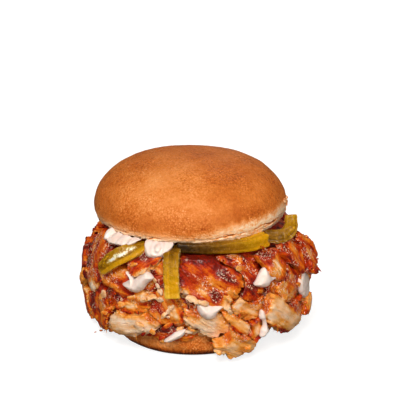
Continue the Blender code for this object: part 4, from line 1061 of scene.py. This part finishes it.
def build_mixed(name, points, quads, tris, material, values):
    """As build, of four- and three-sided faces."""
    mesh = bpy.data.meshes.new(name)
    mesh.vertices.add(len(points))
    mesh.vertices.foreach_set("co", (np.asarray(points) * MM).astype(np.float32).ravel())
    loops = np.concatenate([quads.ravel(), tris.ravel()]).astype(np.int32)
    starts = np.concatenate([np.arange(len(quads)) * 4, len(quads) * 4 + np.arange(len(tris)) * 3]).astype(np.int32)
    mesh.loops.add(len(loops))
    mesh.loops.foreach_set("vertex_index", loops)
    mesh.polygons.add(len(starts))
    mesh.polygons.foreach_set("loop_start", starts)
    mesh.polygons.foreach_set("use_smooth", np.full(len(starts), True))
    mesh.update(calc_edges=True)
    mesh.validate()
    for key, value in values.items():
        value = np.asarray(value, np.float32)
        if value.ndim == 1:
            mesh.attributes.new(key, "FLOAT", "POINT").data.foreach_set("value", value)
        else:
            mesh.attributes.new(key, "FLOAT_VECTOR", "POINT").data.foreach_set("vector", value.ravel())
    mesh.materials.append(material)
    obj = bpy.data.objects.new(name, mesh)
    bpy.context.scene.collection.objects.link(obj)
    return obj


def turned(profile, columns, shape):
    """A turned body: rings of points from a profile (r, z, share along it), changed by shape, closed at both ends."""
    profile = np.asarray(profile)
    rows = len(profile)
    a = np.linspace(0, math.tau, columns, endpoint=False)
    r = np.repeat(profile[:, 0][:, None], columns, 1)
    z = np.repeat(profile[:, 1][:, None], columns, 1)
    A = np.repeat(a[None, :], rows, 0)
    r, z, values = shape(r, z, A, profile)
    place = np.stack([r * np.cos(A), r * np.sin(A), z], -1).reshape(-1, 3)
    faces = grid_faces(rows, columns)[:, ::-1]
    first, last = z[0].mean(), z[-1].mean()
    place = np.concatenate([place, [[0, 0, first], [0, 0, last]]])
    i = np.arange(columns)
    n = (i + 1) % columns
    top = np.stack([i, n, np.full(columns, rows * columns)], 1)
    end = (rows - 1) * columns
    bottom = np.stack([end + n, end + i, np.full(columns, rows * columns + 1)], 1)
    values = {k: np.concatenate([v.ravel(), [v[0].mean(), v[-1].mean()]]) for k, v in values.items()}
    return place, faces, np.concatenate([top, bottom]), values


def resample(points, count, power=1.0):
    p = np.asarray(points, float)
    length = np.concatenate([[0], np.cumsum(np.linalg.norm(np.diff(p, axis=0), axis=1))])
    t = np.linspace(0, 1, count) ** power * length[-1]
    return np.stack([np.interp(t, length, p[:, 0]), np.interp(t, length, p[:, 1])], 1)


def make_top_bun(crust):
    top = BUN_TOP_Z - BUN_WIDEST_Z
    dome = [(0.6, BUN_TOP_Z)]
    for t in np.radians(np.linspace(1, 90, 120)):
        dome.append((BUN_RADIUS * math.sin(t) ** (2 / DOME_POWER), BUN_WIDEST_Z + top * math.cos(t) ** (2 / DOME_POWER)))
    for t in np.linspace(0, 1, 30)[1:]:
        dome.append((BUN_RADIUS - 1.3 * t**1.8 - 0.2 * t, BUN_WIDEST_Z - 4.9 * t))
    for t in np.linspace(0, 1, 12)[1:]:
        dome.append((BUN_RIM_RADIUS - 2.0 * t**1.4, BUN_RIM_Z - 0.45 * math.sin(t * math.pi / 2)))
    # Rings stand closer together near the rim, which is torn and cracked.
    profile = np.concatenate([resample(dome[:121], 72), resample(dome[120:], 42)[1:],
                              [(44.0, 64.7), (36.0, 64.8), (20.0, 64.9), (1.0, 65.0)]])
    table = waves(5, 4)

    def shape(r, z, A, profile):
        x, y = r * np.cos(A), r * np.sin(A)
        under = smooth(65.3, 64.8, z) * smooth(51.0, 49.7, r)
        sway = 1 + 0.0035 * wavy(table, A)
        right = smooth(0.68, 0.95, np.cos(A - math.radians(320)))
        broad = 0.40 * noise(x / 26, y / 26, z / 26 + 3) + 0.20 * noise(x / 9, y / 9, z / 9)
        fine = 0.07 * noise(x / 1.7, y / 1.7, z / 1.7) + 0.08 * noise(x / 3.1, y / 3.1, z / 3.1)
        low = smooth(70.5, 66.0, z) * (1 - under)
        wrinkle = low * (0.30 * noise(A * 9, z / 1.6, 2.0) + 0.22 * noise(A * 24, z / 1.2, 5.0) + 0.16 * noise(A * 60, z / 0.9, 8.0))
        line = 66.4 + 1.4 * right + 1.3 * noise(A * 3.4, 1.0, 4.0) + 0.55 * noise(A * 16.0, 2.0, 4.0)
        where = smooth(0.14, 0.34, noise(A * 4.6, 0.5, 3.0) + 0.20 * right)
        crack = np.exp(-(((z - line) / 0.26) ** 2)) * where * (1 - under)
        line2 = 68.6 + 2.0 * noise(A * 4.4, 5.0, 1.0) + 0.7 * noise(A * 16.0, 2.0, 9.0)
        crack2 = np.exp(-(((z - line2) / 0.25) ** 2)) * smooth(0.08, 0.26, noise(A * 4.2, 7.5, 2.0) + 0.12 * right) * right
        crack = np.maximum(crack, crack2)
        push = broad + fine + wrinkle - 0.9 * crack + 0.25 * smooth(0.6, 0.0, np.abs(z - line + 1.0)) * where * low
        edge = smooth(65.8, 65.0, z) * (1 - under)
        push = push - edge * 0.7 * np.clip(noise(A * 40, 3.0, 3.0) + noise(A * 90, 4.0, 3.0) * 0.6, 0, 1)
        nr, nz = np.gradient(r, axis=0), np.gradient(z, axis=0)
        size = np.hypot(nr, nz) + 1e-9
        outr, outz = -nz / size, nr / size
        r2 = r * sway + push * outr * (1 - under)
        z2 = z + push * outz * (1 - under) + under * 0.5 * fbm(x / 4, y / 4, 3.0, 3)
        z2 = z2 + edge * 0.45 * noise(A * 30, 9.0, 1.0)
        z2 = np.where(z < 66, np.maximum(z2, 64.35), z2)
        height = (z - 65.0) / 33.0
        # Painted shade and highlight: the crust is a little darker towards the top and lighter in a patch on the front
        # of the dome, where the light falls.
        side = smooth(0.15, 0.75, height)
        painted_highlight_patch = np.exp(-(((x + 8) / 26) ** 2 + ((y + 34) / 16) ** 2) * 0.7)
        left = smooth(0.1, 0.9, np.cos(A - math.radians(215)))
        front = smooth(0.2, 0.9, np.cos(A - math.radians(272)))
        brown = 0.62 + 0.03 * side - 0.10 * painted_highlight_patch - 0.02 * left * smooth(66, 72, z)
        brown = brown + 0.05 * right * smooth(72, 78, z) + 0.12 * front * smooth(84, 74, z)
        start = 69.0 + 4.4 * right**1.5 + 1.5 * noise(A * 2.5, 1.0, 1.0) + 0.9 * noise(A * 9, 1.0, 6.0) + 0.5 * noise(A * 26, z / 2, 6.0)
        pale = smooth(start + 3.2, start - 2.6, z)
        patchy = 0.32 * right * pale * noise(A * 22, z / 1.6, 3.0) + 0.16 * right * pale * noise(A * 60, z / 0.7, 5.0)
        brown = brown - pale * (0.34 + 0.26 * right) + patchy - 0.14 * smooth(70, 66, z) * left + 0.03 * front * smooth(76, 70, z)
        brown = np.maximum(brown - 0.22 * smooth(66.6, 65.4, z), 0.03) + 0.9 * crack
        brown = brown * (1 - under) + 0.06 * under
        return r2, z2, {"brown": np.clip(brown, 0, 1)}

    place, faces, caps, values = turned(profile, 440, shape)
    add(build_mixed("top_bun", place, faces, caps, crust, values), "crust_top", "bun_top")


def chip(centre, x, y, z, rng, rows=7, ring=12):
    """A small, ragged, closed lump with half sizes along three directions. Points, quads and tris."""
    t = np.linspace(0, math.pi, rows + 2)[1:-1]
    a = np.linspace(0, math.tau, ring, endpoint=False)
    k = rng.uniform(0, 900)
    T, A = np.meshgrid(t, a, indexing="ij")
    sx, sy, sz = np.sin(T) * np.cos(A), np.sin(T) * np.sin(A), np.cos(T)
    size = 1 + 0.45 * noise(sx * 1.2, sy * 1.2, sz * 1.2 + k) + 0.25 * noise(sx * 3, sy * 3, sz * 3 + k)
    points = centre + (sx * size)[..., None] * x + (sy * size)[..., None] * y + (sz * size)[..., None] * z
    points = np.concatenate([points.reshape(-1, 3), [centre + z, centre - z]])
    i = np.arange(ring)
    n = (i + 1) % ring
    m, last = rows * ring, (rows - 1) * ring
    tris = np.concatenate([np.stack([i, n, np.full(ring, m)], 1), np.stack([last + n, last + i, np.full(ring, m + 1)], 1)])
    return points, grid_faces(rows, ring)[:, ::-1], tris


def make_flakes(crust):
    """Flakes of crust and crumb that the knife tore along the top bun's edge."""
    flakes = Joined()
    rng = random.Random(77)
    wanted = [(rng.uniform(344, 362), rng.uniform(66.0, 76.0), rng.uniform(0.6, 1.5)) for _ in range(16)]
    wanted += [(rng.uniform(296, 340), rng.uniform(65.1, 66.0), rng.uniform(0.4, 0.9)) for _ in range(14)]
    wanted += [(rng.uniform(0, 360), rng.uniform(65.0, 66.0), rng.uniform(0.3, 0.8)) for _ in range(40)]
    for angle, height, size in wanted:
        below = max(0.0, (BUN_WIDEST_Z - height) / (BUN_WIDEST_Z - BUN_RIM_Z))
        r = BUN_RADIUS - 2.3 * below**1.8 - 0.02 * max(0.0, height - BUN_WIDEST_Z) ** 2
        centre, along, across, normal, _ = heap_frame(angle, height, r + 0.1 * size, rng.uniform(-60, 60), rng.uniform(-20, 50))
        points, quads, tris = chip(centre, along * size * rng.uniform(0.9, 1.6), across * size * 0.7, normal * size * 0.32, rng)
        points[:, 2] = np.maximum(points[:, 2], 64.4)
        brown = np.clip((0.34 if size > 0.9 or height > 66.3 else 0.10) + 0.35 * noise(points[:, 0] / 1.2, points[:, 1] / 1.2, points[:, 2] / 1.2) + rng.uniform(-0.1, 0.25), 0, 1)
        flakes.take(points, quads, tris, {"brown": brown})
    add(flakes.finish("torn_flakes", crust), "crust_top")


def make_bottom_bun(crust):
    outline = [(0.6, 17.0), (26, 17.0), (HEEL_CUT_RADIUS - 1.2, 17.1), (HEEL_CUT_RADIUS, 16.9)]
    for t in np.radians(np.linspace(0, 90, 14)):
        outline.append((HEEL_CUT_RADIUS + (HEEL_RADIUS - HEEL_CUT_RADIUS) * math.sin(t) ** 0.9, 9.5 + 7.2 * math.cos(t) ** 0.8))
    for t in np.radians(np.linspace(0, 90, 22))[1:]:
        outline.append((HEEL_BASE_RADIUS + (HEEL_RADIUS - HEEL_BASE_RADIUS) * math.cos(t) ** 0.9, HEEL_WIDEST_Z * (1 - math.sin(t) ** 1.15)))
    profile = np.concatenate([resample(outline[:3], 6), resample(outline[2:], 62)[1:], [(34.0, 0.0), (18.0, 0.0), (1.0, 0.0)]])
    table = waves(6, 4)

    def shape(r, z, A, profile):
        x, y = r * np.cos(A), r * np.sin(A)
        cut = smooth(16.2, 16.9, z)
        flat = smooth(0.6, 0.0, z)
        sway = 1 + 0.004 * wavy(table, A) * (1 - flat)
        side = (1 - cut) * smooth(0.3, 2.0, z)
        push = side * (0.30 * noise(A * 7, z / 3.2, 1.0) + 0.20 * noise(A * 26, z / 1.8, 4.0) + 0.35 * noise(x / 14, y / 14, z / 14))
        push = push + side * 0.16 * noise(A * 70, z / 3.0, 7.0)
        r2 = r * sway + push
        z2 = z + cut * 0.35 * fbm(x / 3, y / 3, 1.0, 3) * smooth(43.5, 40, r)
        brown = 0.59 + 0.50 * smooth(6.0, 0.6, z) - 0.10 * smooth(9, 14, z) + 0.14 * noise(A * 5, z / 5, 2.0) + 0.12 * noise(A * 40, z / 4, 5.0)
        brown = brown * (1 - cut) + 0.12 * cut
        return r2, np.maximum(z2, 0.0), {"brown": np.clip(brown, 0, 1)}

    place, faces, caps, values = turned(profile, 400, shape)
    place = place + [HEEL_X, HEEL_Y, 0.0]
    add(build_mixed("bottom_bun", place, faces, caps, crust, values), "crust_bottom", "bun_bottom")


def make_gherkins(material, covered):
    looks = {  # tone at the start, tone at the end, of one side, of the other, pale flesh, bumps
        "gherkin_left": (0.40, 0.55, 0.04, 0.34, 1.0, 0.18),
        "gherkin_hanging": (-0.06, 0.90, 0.10, 0.10, 0.12, 0.30),
        "gherkin_rim": (-0.14, 0.72, 0.10, 0.10, 0.0, 0.12),
        "gherkin_curled": (0.22, 0.60, 0.10, 0.02, 0.0, 0.24),
        "gherkin_far": (0.42, 0.70, 0.05, 0.18, 0.5, 0.25),
    }
    seeds = {  # where the seeds lie: share along the strip, share across it
        "gherkin_left": [(0.84, -0.30), (0.88, 0.12), (0.80, -0.52), (0.92, -0.16), (0.75, -0.62)],
        "gherkin_curled": [(0.50, -0.30), (0.60, -0.05), (0.68, -0.40), (0.42, 0.10), (0.34, -0.25)],
        "gherkin_far": [(0.84, -0.2), (0.9, 0.2)],
    }
    for number, name in enumerate(GHERKINS):
        rows, ring = ((130, 72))
        path, thick = gherkin_path(name, rows)
        a = np.linspace(0, math.tau, ring, endpoint=False)
        c, s = np.cos(a), np.sin(a)
        X, Y = np.sign(c) * np.abs(c) ** 0.42, np.sign(s) * np.abs(s) ** 0.42
        start, end, one, two, pale, bumps = looks[name]
        place, tones, flesh_and_glint_rows, alongs = [], [], [], []
        for i, (centre, across, normal, half, tangent) in enumerate(path):
            t = i / (rows - 1)
            round_end = {"gherkin_left": 0.07, "gherkin_far": 0.10}.get(name, 0.035)
            cap = min(1.0, min(t, 1 - t) / round_end)
            wide = math.sqrt(max(0.0, 1 - (1 - cap) ** 2)) * 0.97 + 0.03
            deep = math.sqrt(max(0.0, 1 - (1 - min(1.0, min(t, 1 - t) / 0.04)) ** 2)) * 0.97 + 0.03
            x, y = X * half * wide, Y * thick * deep
            q = centre + x[:, None] * across + y[:, None] * normal
            k = number * 31.0
            front = np.clip(Y, 0, 1)
            if name == "gherkin_left":
                groove = -0.9 * np.exp(-(((X - 0.27) / 0.10) ** 2)) * front + 0.30 * np.exp(-(((X + 0.15) / 0.3) ** 2)) * front
            elif name == "gherkin_rim":
                groove = -0.35 * np.exp(-(((X - 0.10) / 0.10) ** 2)) * front
            elif name == "gherkin_curled":
                groove = -0.30 * np.exp(-(((X + 0.62) / 0.10) ** 2)) * front
            else:
                groove = -0.3 * np.exp(-(((X - 0.1) / 0.25) ** 2)) * front
            seed, ringed = np.zeros(ring), np.zeros(ring)
            for st, sx in seeds.get(name, []):
                away = np.hypot((t - st) * 30 / 1.1, (X - sx) * half / 0.62)
                seed = seed + np.exp(-(away**2)) * front
                ringed = ringed + np.exp(-(((away - 1.15) / 0.40) ** 2)) * front
            bump = bumps * noise(q[:, 0] / 1.9 + k, q[:, 1] / 1.9, q[:, 2] / 1.9) + 0.35 * noise(
                q[:, 0] / 7 + k, q[:, 1] / 7, q[:, 2] / 7
            )
            push = (bump + groove + 0.22 * seed - 0.14 * ringed) * min(1.0, cap * 2 + 0.15)
            out = x[:, None] * across / half + y[:, None] * normal / thick
            out /= np.linalg.norm(out, axis=1)[:, None] + 1e-9
            place.append(q + out * push[:, None])
            tone = start + (end - start) * t + np.where(X < 0, -X * one, X * two)
            strong = 0.36 if name == "gherkin_left" else 0.20
            tone = tone + 0.12 * np.clip(-Y, 0, 1) + strong * seed - 0.8 * strong * ringed
            side = smooth(0.80, 0.97, np.abs(X))
            if name == "gherkin_left":
                # Painted shade: darker along its groove.
                tone = tone - 0.34 * np.exp(-(((X - 0.27) / 0.10) ** 2)) * front
                # Painted highlight: a white glint band along the strip's middle, with a pale skin rim and a pale cut
                # end.
                drift = X + 0.08 + 0.20 * noise(t * 9.0, X * 0.5, 3.0)
                flesh_and_glint = 1.25 * np.exp(-((drift / 0.26) ** 2)) * front * smooth(0.24, 0.34, t) * smooth(0.86, 0.70, t)
                flesh_and_glint = flesh_and_glint * (0.86 + 0.4 * noise(t * 26.0, X * 5.0, 8.0)) + 0.35 * side + 0.50 * smooth(0.955, 0.985, t)
            elif name == "gherkin_hanging":
                flesh_and_glint = 0.42 * side + 0.18 * smooth(0.96, 1.0, t)
                tone = tone + 0.10 * np.exp(-(((X + 0.35) / 0.14) ** 2)) * front
            elif name == "gherkin_rim":
                # Painted highlight: a faint pale line along its front; the cut end is pale.
                flesh_and_glint = 0.16 * np.exp(-(((X + 0.15) / 0.22) ** 2)) * front * smooth(0.15, 0.5, t) + 0.30 * smooth(0.975, 0.995, t)
                tone = tone + 0.16 * smooth(0.55, 0.80, t) * smooth(0.0, -0.9, X)
            elif name == "gherkin_curled":
                flesh_and_glint = 0.50 * smooth(-0.80, -0.95, X) + 0.10 * smooth(0.8, 0.95, X)
                # Painted shade: darker along its crease.
                tone = tone - 0.16 * np.exp(-(((X + 0.62) / 0.12) ** 2)) * front
            else:
                flesh_and_glint = pale * np.exp(-(((X - 0.12) / 0.20) ** 2)) * front * smooth(0.30, 0.45, t) * smooth(0.93, 0.80, t)
            tones.append(tone)
            flesh_and_glint_rows.append(flesh_and_glint)
            alongs.append(np.stack([np.full(ring, t * 4.0 + k), X * half, Y * thick], 1))
        place = np.concatenate(place)
        covered.take(place)
        faces = grid_faces(rows, ring)
        i = np.arange(ring)
        n = (i + 1) % ring
        place = np.concatenate([place, [path[0][0] - path[0][4] * 0.1], [path[-1][0] + path[-1][4] * 0.1]])
        caps = np.stack([n, i, np.full(ring, rows * ring)], 1)
        caps2 = np.stack([(rows - 1) * ring + i, (rows - 1) * ring + n, np.full(ring, rows * ring + 1)], 1)
        tone = np.concatenate(tones + [tones[0][:1], tones[-1][:1]])
        flesh_and_glint = np.concatenate(flesh_and_glint_rows + [[0.0], [0.0]])
        along = np.concatenate(alongs + [alongs[0][:1], alongs[-1][:1]])
        obj = build_mixed(name + "_strip", place, faces, np.concatenate([caps, caps2]), material, {"tone": tone, "flesh_and_glint": flesh_and_glint, "along": along})
        add(obj, "gherkin", name)


def rounded_outline(points, steps=8):
    """A closed, smooth line through the points."""
    p = np.asarray(points, float)
    before, after, second = np.roll(p, 1, 0), np.roll(p, -1, 0), np.roll(p, -2, 0)
    t = np.linspace(0, 1, steps, endpoint=False)[None, :, None]
    p, before, after, second = (x[:, None, :] for x in (p, before, after, second))
    line = 0.5 * (2 * p + (after - before) * t + (2 * before - 5 * p + 4 * after - second) * t**2 + (3 * p - before - 3 * after + second) * t**3)
    return line.reshape(-1, 2)


def from_outline(u, v, line):
    """Distance to a closed line, below zero inside it."""
    x, y = u.ravel(), v.ravel()
    best, inside = np.full(len(x), 1e9), np.zeros(len(x), bool)
    for (x1, y1), (x2, y2) in zip(line, np.roll(line, -1, 0)):
        dx, dy = x2 - x1, y2 - y1
        t = np.clip(((x - x1) * dx + (y - y1) * dy) / max(dx * dx + dy * dy, 1e-9), 0, 1)
        best = np.minimum(best, (x - x1 - t * dx) ** 2 + (y - y1 - t * dy) ** 2)
        if y1 != y2:
            inside ^= ((y1 > y) != (y2 > y)) & (x < x1 + (y - y1) * dx / dy)
    return (np.sqrt(best) * np.where(inside, -1, 1)).reshape(u.shape)


def make_sauces(material, covered):
    step = 0.36
    bun = BunSpace()
    for number, (name, angle, height, distance, width, tall, thick, roll, arms) in enumerate(SAUCES):
        centre, along, across, normal, r = heap_frame(angle, height, distance, roll, 0)
        line = rounded_outline(OUTLINES[name])
        low, high = line.min(0) - 1.5, line.max(0) + 1.5
        axes = [np.arange(low[0], high[0], step), np.arange(low[1], high[1], step), np.arange(-thick / 2 - 1.6, thick / 2 + 1.6, step)]
        u, v, w = np.meshgrid(*axes, indexing="ij")
        k = 50 + number * 13.1
        d = from_outline(u[:, :, 0], v[:, :, 0], line)[:, :, None] + 0.25 * noise(u / 2.6, v / 2.6, k)
        tucked = name in ("sauce_left_rim", "sauce_round", "sauce_far_1")
        round_off = 6.2 if name == "sauce_round" else thick * (0.42 if tucked else 0.55)
        inner = np.clip(-d / round_off, 0, 1)
        swell = thick / 2 * np.sin(inner * math.pi / 2) ** (0.50 if tucked else 0.62)
        relief = 0.30 * noise(u / 4.2, v / 4.2, k + 5) + 0.12 * noise(u / 1.7, v / 1.7, k + 9)
        if name == "sauce_round":
            c = np.sqrt((u - 0.2) ** 2 + (v - 3.4) ** 2)
            relief = relief + 1.6 * np.sqrt(np.clip(1 - (c / 1.7) ** 2, 0, 1)) - 0.42 * np.exp(-(((c - 2.4) / 0.6) ** 2)) - 0.30 * np.exp(-(((c - 4.8) / 0.6) ** 2))
        if name == "sauce_left_rim":
            for fold, lean, deep in ((-7.2, 0.35, 0.9), (-1.6, 0.15, 0.5), (4.4, -0.10, 0.9), (9.4, 0.15, 0.5)):
                relief = relief - deep * np.exp(-(((u - fold - lean * (v - 3)) / 1.3) ** 2))
                relief = relief + 0.4 * deep * np.exp(-(((u - fold - 2.0 - lean * (v - 3)) / 1.5) ** 2))
        relief = relief * smooth(0.0, 0.35, inner)
        field = smax(d, np.abs(w) - swell - np.where(w > 0, relief, 0), 0.5)
        p = centre + u[..., None] * along + v[..., None] * across + (w - 0.5 * (u * math.cos(r) - v * math.sin(r)) ** 2 / 60)[..., None] * normal
        field = smax(field, 0.15 - bun.over(p), 0.4)
        if tucked:
            # Its top curves down from the bun's rim.
            beyond = np.clip(np.hypot(p[..., 0], p[..., 1]) - 51.5, 0, 20)
            lifted = 1.6 * smooth(-6.0, -10.0, u) if name == "sauce_left_rim" else 0.0
            ceiling = 66.0 + lifted - (0.075 if name == "sauce_left_rim" else 0.095) * beyond**2
            field = smax(field, p[..., 2] - ceiling - 0.9 * relief, 1.0)
        field[0], field[-1], field[:, 0], field[:, -1], field[:, :, 0], field[:, :, -1] = (1.0,) * 6
        verts, faces = surface(field, step, [x[0] for x in axes])
        verts, faces = largest(verts, faces)
        u, v, w = verts.T
        level = u * math.cos(r) - v * math.sin(r)
        n = w - 0.5 * level * level / 60
        place = centre + u[:, None] * along + v[:, None] * across + n[:, None] * normal
        place[:, 2] = above_floor(place[:, 2])
        covered.take(place)
        add(build(name + "_dollop", place, faces, material), "sauce", name)


# ================================================================= set
def make_stage():
    mesh = bpy.data.meshes.new("floor")
    mesh.from_pydata([(-3, -3, 0), (3, -3, 0), (3, 3, 0), (-3, 3, 0)], [], [(0, 1, 2, 3)])
    floor = bpy.data.objects.new("floor", mesh)
    bpy.context.scene.collection.objects.link(floor)
    n = Nodes("pale_floor")
    grey = n.noise(n.place(), 0.01, 2.0)
    mesh.materials.append(
        n.set(
            Base_Color=n.ramp(grey, [(0.0, (168, 168, 168)), (1.0, (172, 172, 172))]), Roughness=1.0, Specular_IOR_Level=0.0,
            Emission_Color=(1.0, 1.0, 1.0, 1.0), Emission_Strength=0.78,
        )
    )
    floor.visible_diffuse = False
    floor.visible_glossy = False

    # A plain, pale wall all round, far off, which only the camera sees.
    a = np.linspace(0, math.tau, 96, endpoint=False)
    ring = np.stack([2900 * np.cos(a), 2900 * np.sin(a)], 1)
    points = np.concatenate([np.column_stack([ring, np.full(96, -1.0)]), np.column_stack([ring, np.full(96, 2200.0)])])
    n = Nodes("pale_wall")
    grey = n.noise(n.place(), 0.01, 2.0)
    material = n.set(
        Base_Color=n.ramp(grey, [(0.0, (168, 168, 168)), (1.0, (172, 172, 172))]), Roughness=1.0, Specular_IOR_Level=0.0,
        Emission_Color=(1.0, 1.0, 1.0, 1.0), Emission_Strength=0.92,
    )
    wall = build("wall", points, grid_faces(2, 96)[:, ::-1], material)
    wall.visible_diffuse = False
    wall.visible_glossy = False
    wall.visible_shadow = False

    world = bpy.data.worlds.new("studio")
    bpy.context.scene.world = world
    world.use_nodes = True
    world.node_tree.nodes["Background"].inputs["Color"].default_value = (1.0, 0.88, 0.74, 1.0)
    world.node_tree.nodes["Background"].inputs["Strength"].default_value = 0.10

    def sun(name, azimuth, elevation, power, angle, colour=(1, 1, 1)):
        """A large, distant lamp. Azimuth 0 is in front of the object, and grows to its right."""
        data = bpy.data.lights.new(name, "SUN")
        data.energy, data.angle, data.color = power, math.radians(angle), colour
        obj = bpy.data.objects.new(name, data)
        bpy.context.scene.collection.objects.link(obj)
        a, e = math.radians(azimuth), math.radians(elevation)
        towards = Vector((math.sin(a) * math.cos(e), -math.cos(a) * math.cos(e), math.sin(e)))
        obj.location = towards * 2
        obj.rotation_euler = towards.to_track_quat("Z", "Y").to_euler()

    sun("key", -6, 44, 1.98, 18, (1.0, 0.975, 0.93))
    sun("front", 10, 14, 0.86, 16, (1.0, 0.95, 0.87))
    sun("left", -48, 30, 0.46, 14, (1.0, 0.95, 0.88))
    sun("right", 44, 28, 0.54, 14, (1.0, 0.95, 0.88))
    sun("back", 172, 30, 0.30, 24, (1.0, 0.88, 0.74))
    sun("spark", -12, 54, 0.50, 4)

    scene = bpy.context.scene
    scene.view_settings.view_transform = "Standard"
    scene.view_settings.look = "None"
    scene.view_settings.exposure = 0.0
    scene.view_settings.gamma = 1.0


def make_camera():
    data = bpy.data.cameras.new("camera")
    camera = bpy.data.objects.new("camera", data)
    bpy.context.scene.collection.objects.link(camera)
    data.sensor_width, data.lens = 36.0, 100.62
    data.clip_start, data.clip_end = 0.01, 20.0
    place = Vector((0.0, -0.58035691, 0.26514182))
    aim = Vector((0.00532379, 0.00792179, 0.06807557))
    camera.location = place
    camera.rotation_euler = (aim - place).to_track_quat("-Z", "Y").to_euler()
    bpy.context.scene.camera = camera


def main():
    make_camera()
    make_stage()
    meat = meat_material()
    crust = crust_material()
    make_top_bun(crust)
    make_bottom_bun(crust)
    spaces, skin = make_slices(meat)
    make_middle(meat, spaces)
    covered = Skin()
    make_gherkins(gherkin_material(), covered)
    make_sauces(sauce_material(), covered)
    make_scraps(meat, skin, covered)
    make_flakes(crust)


main()
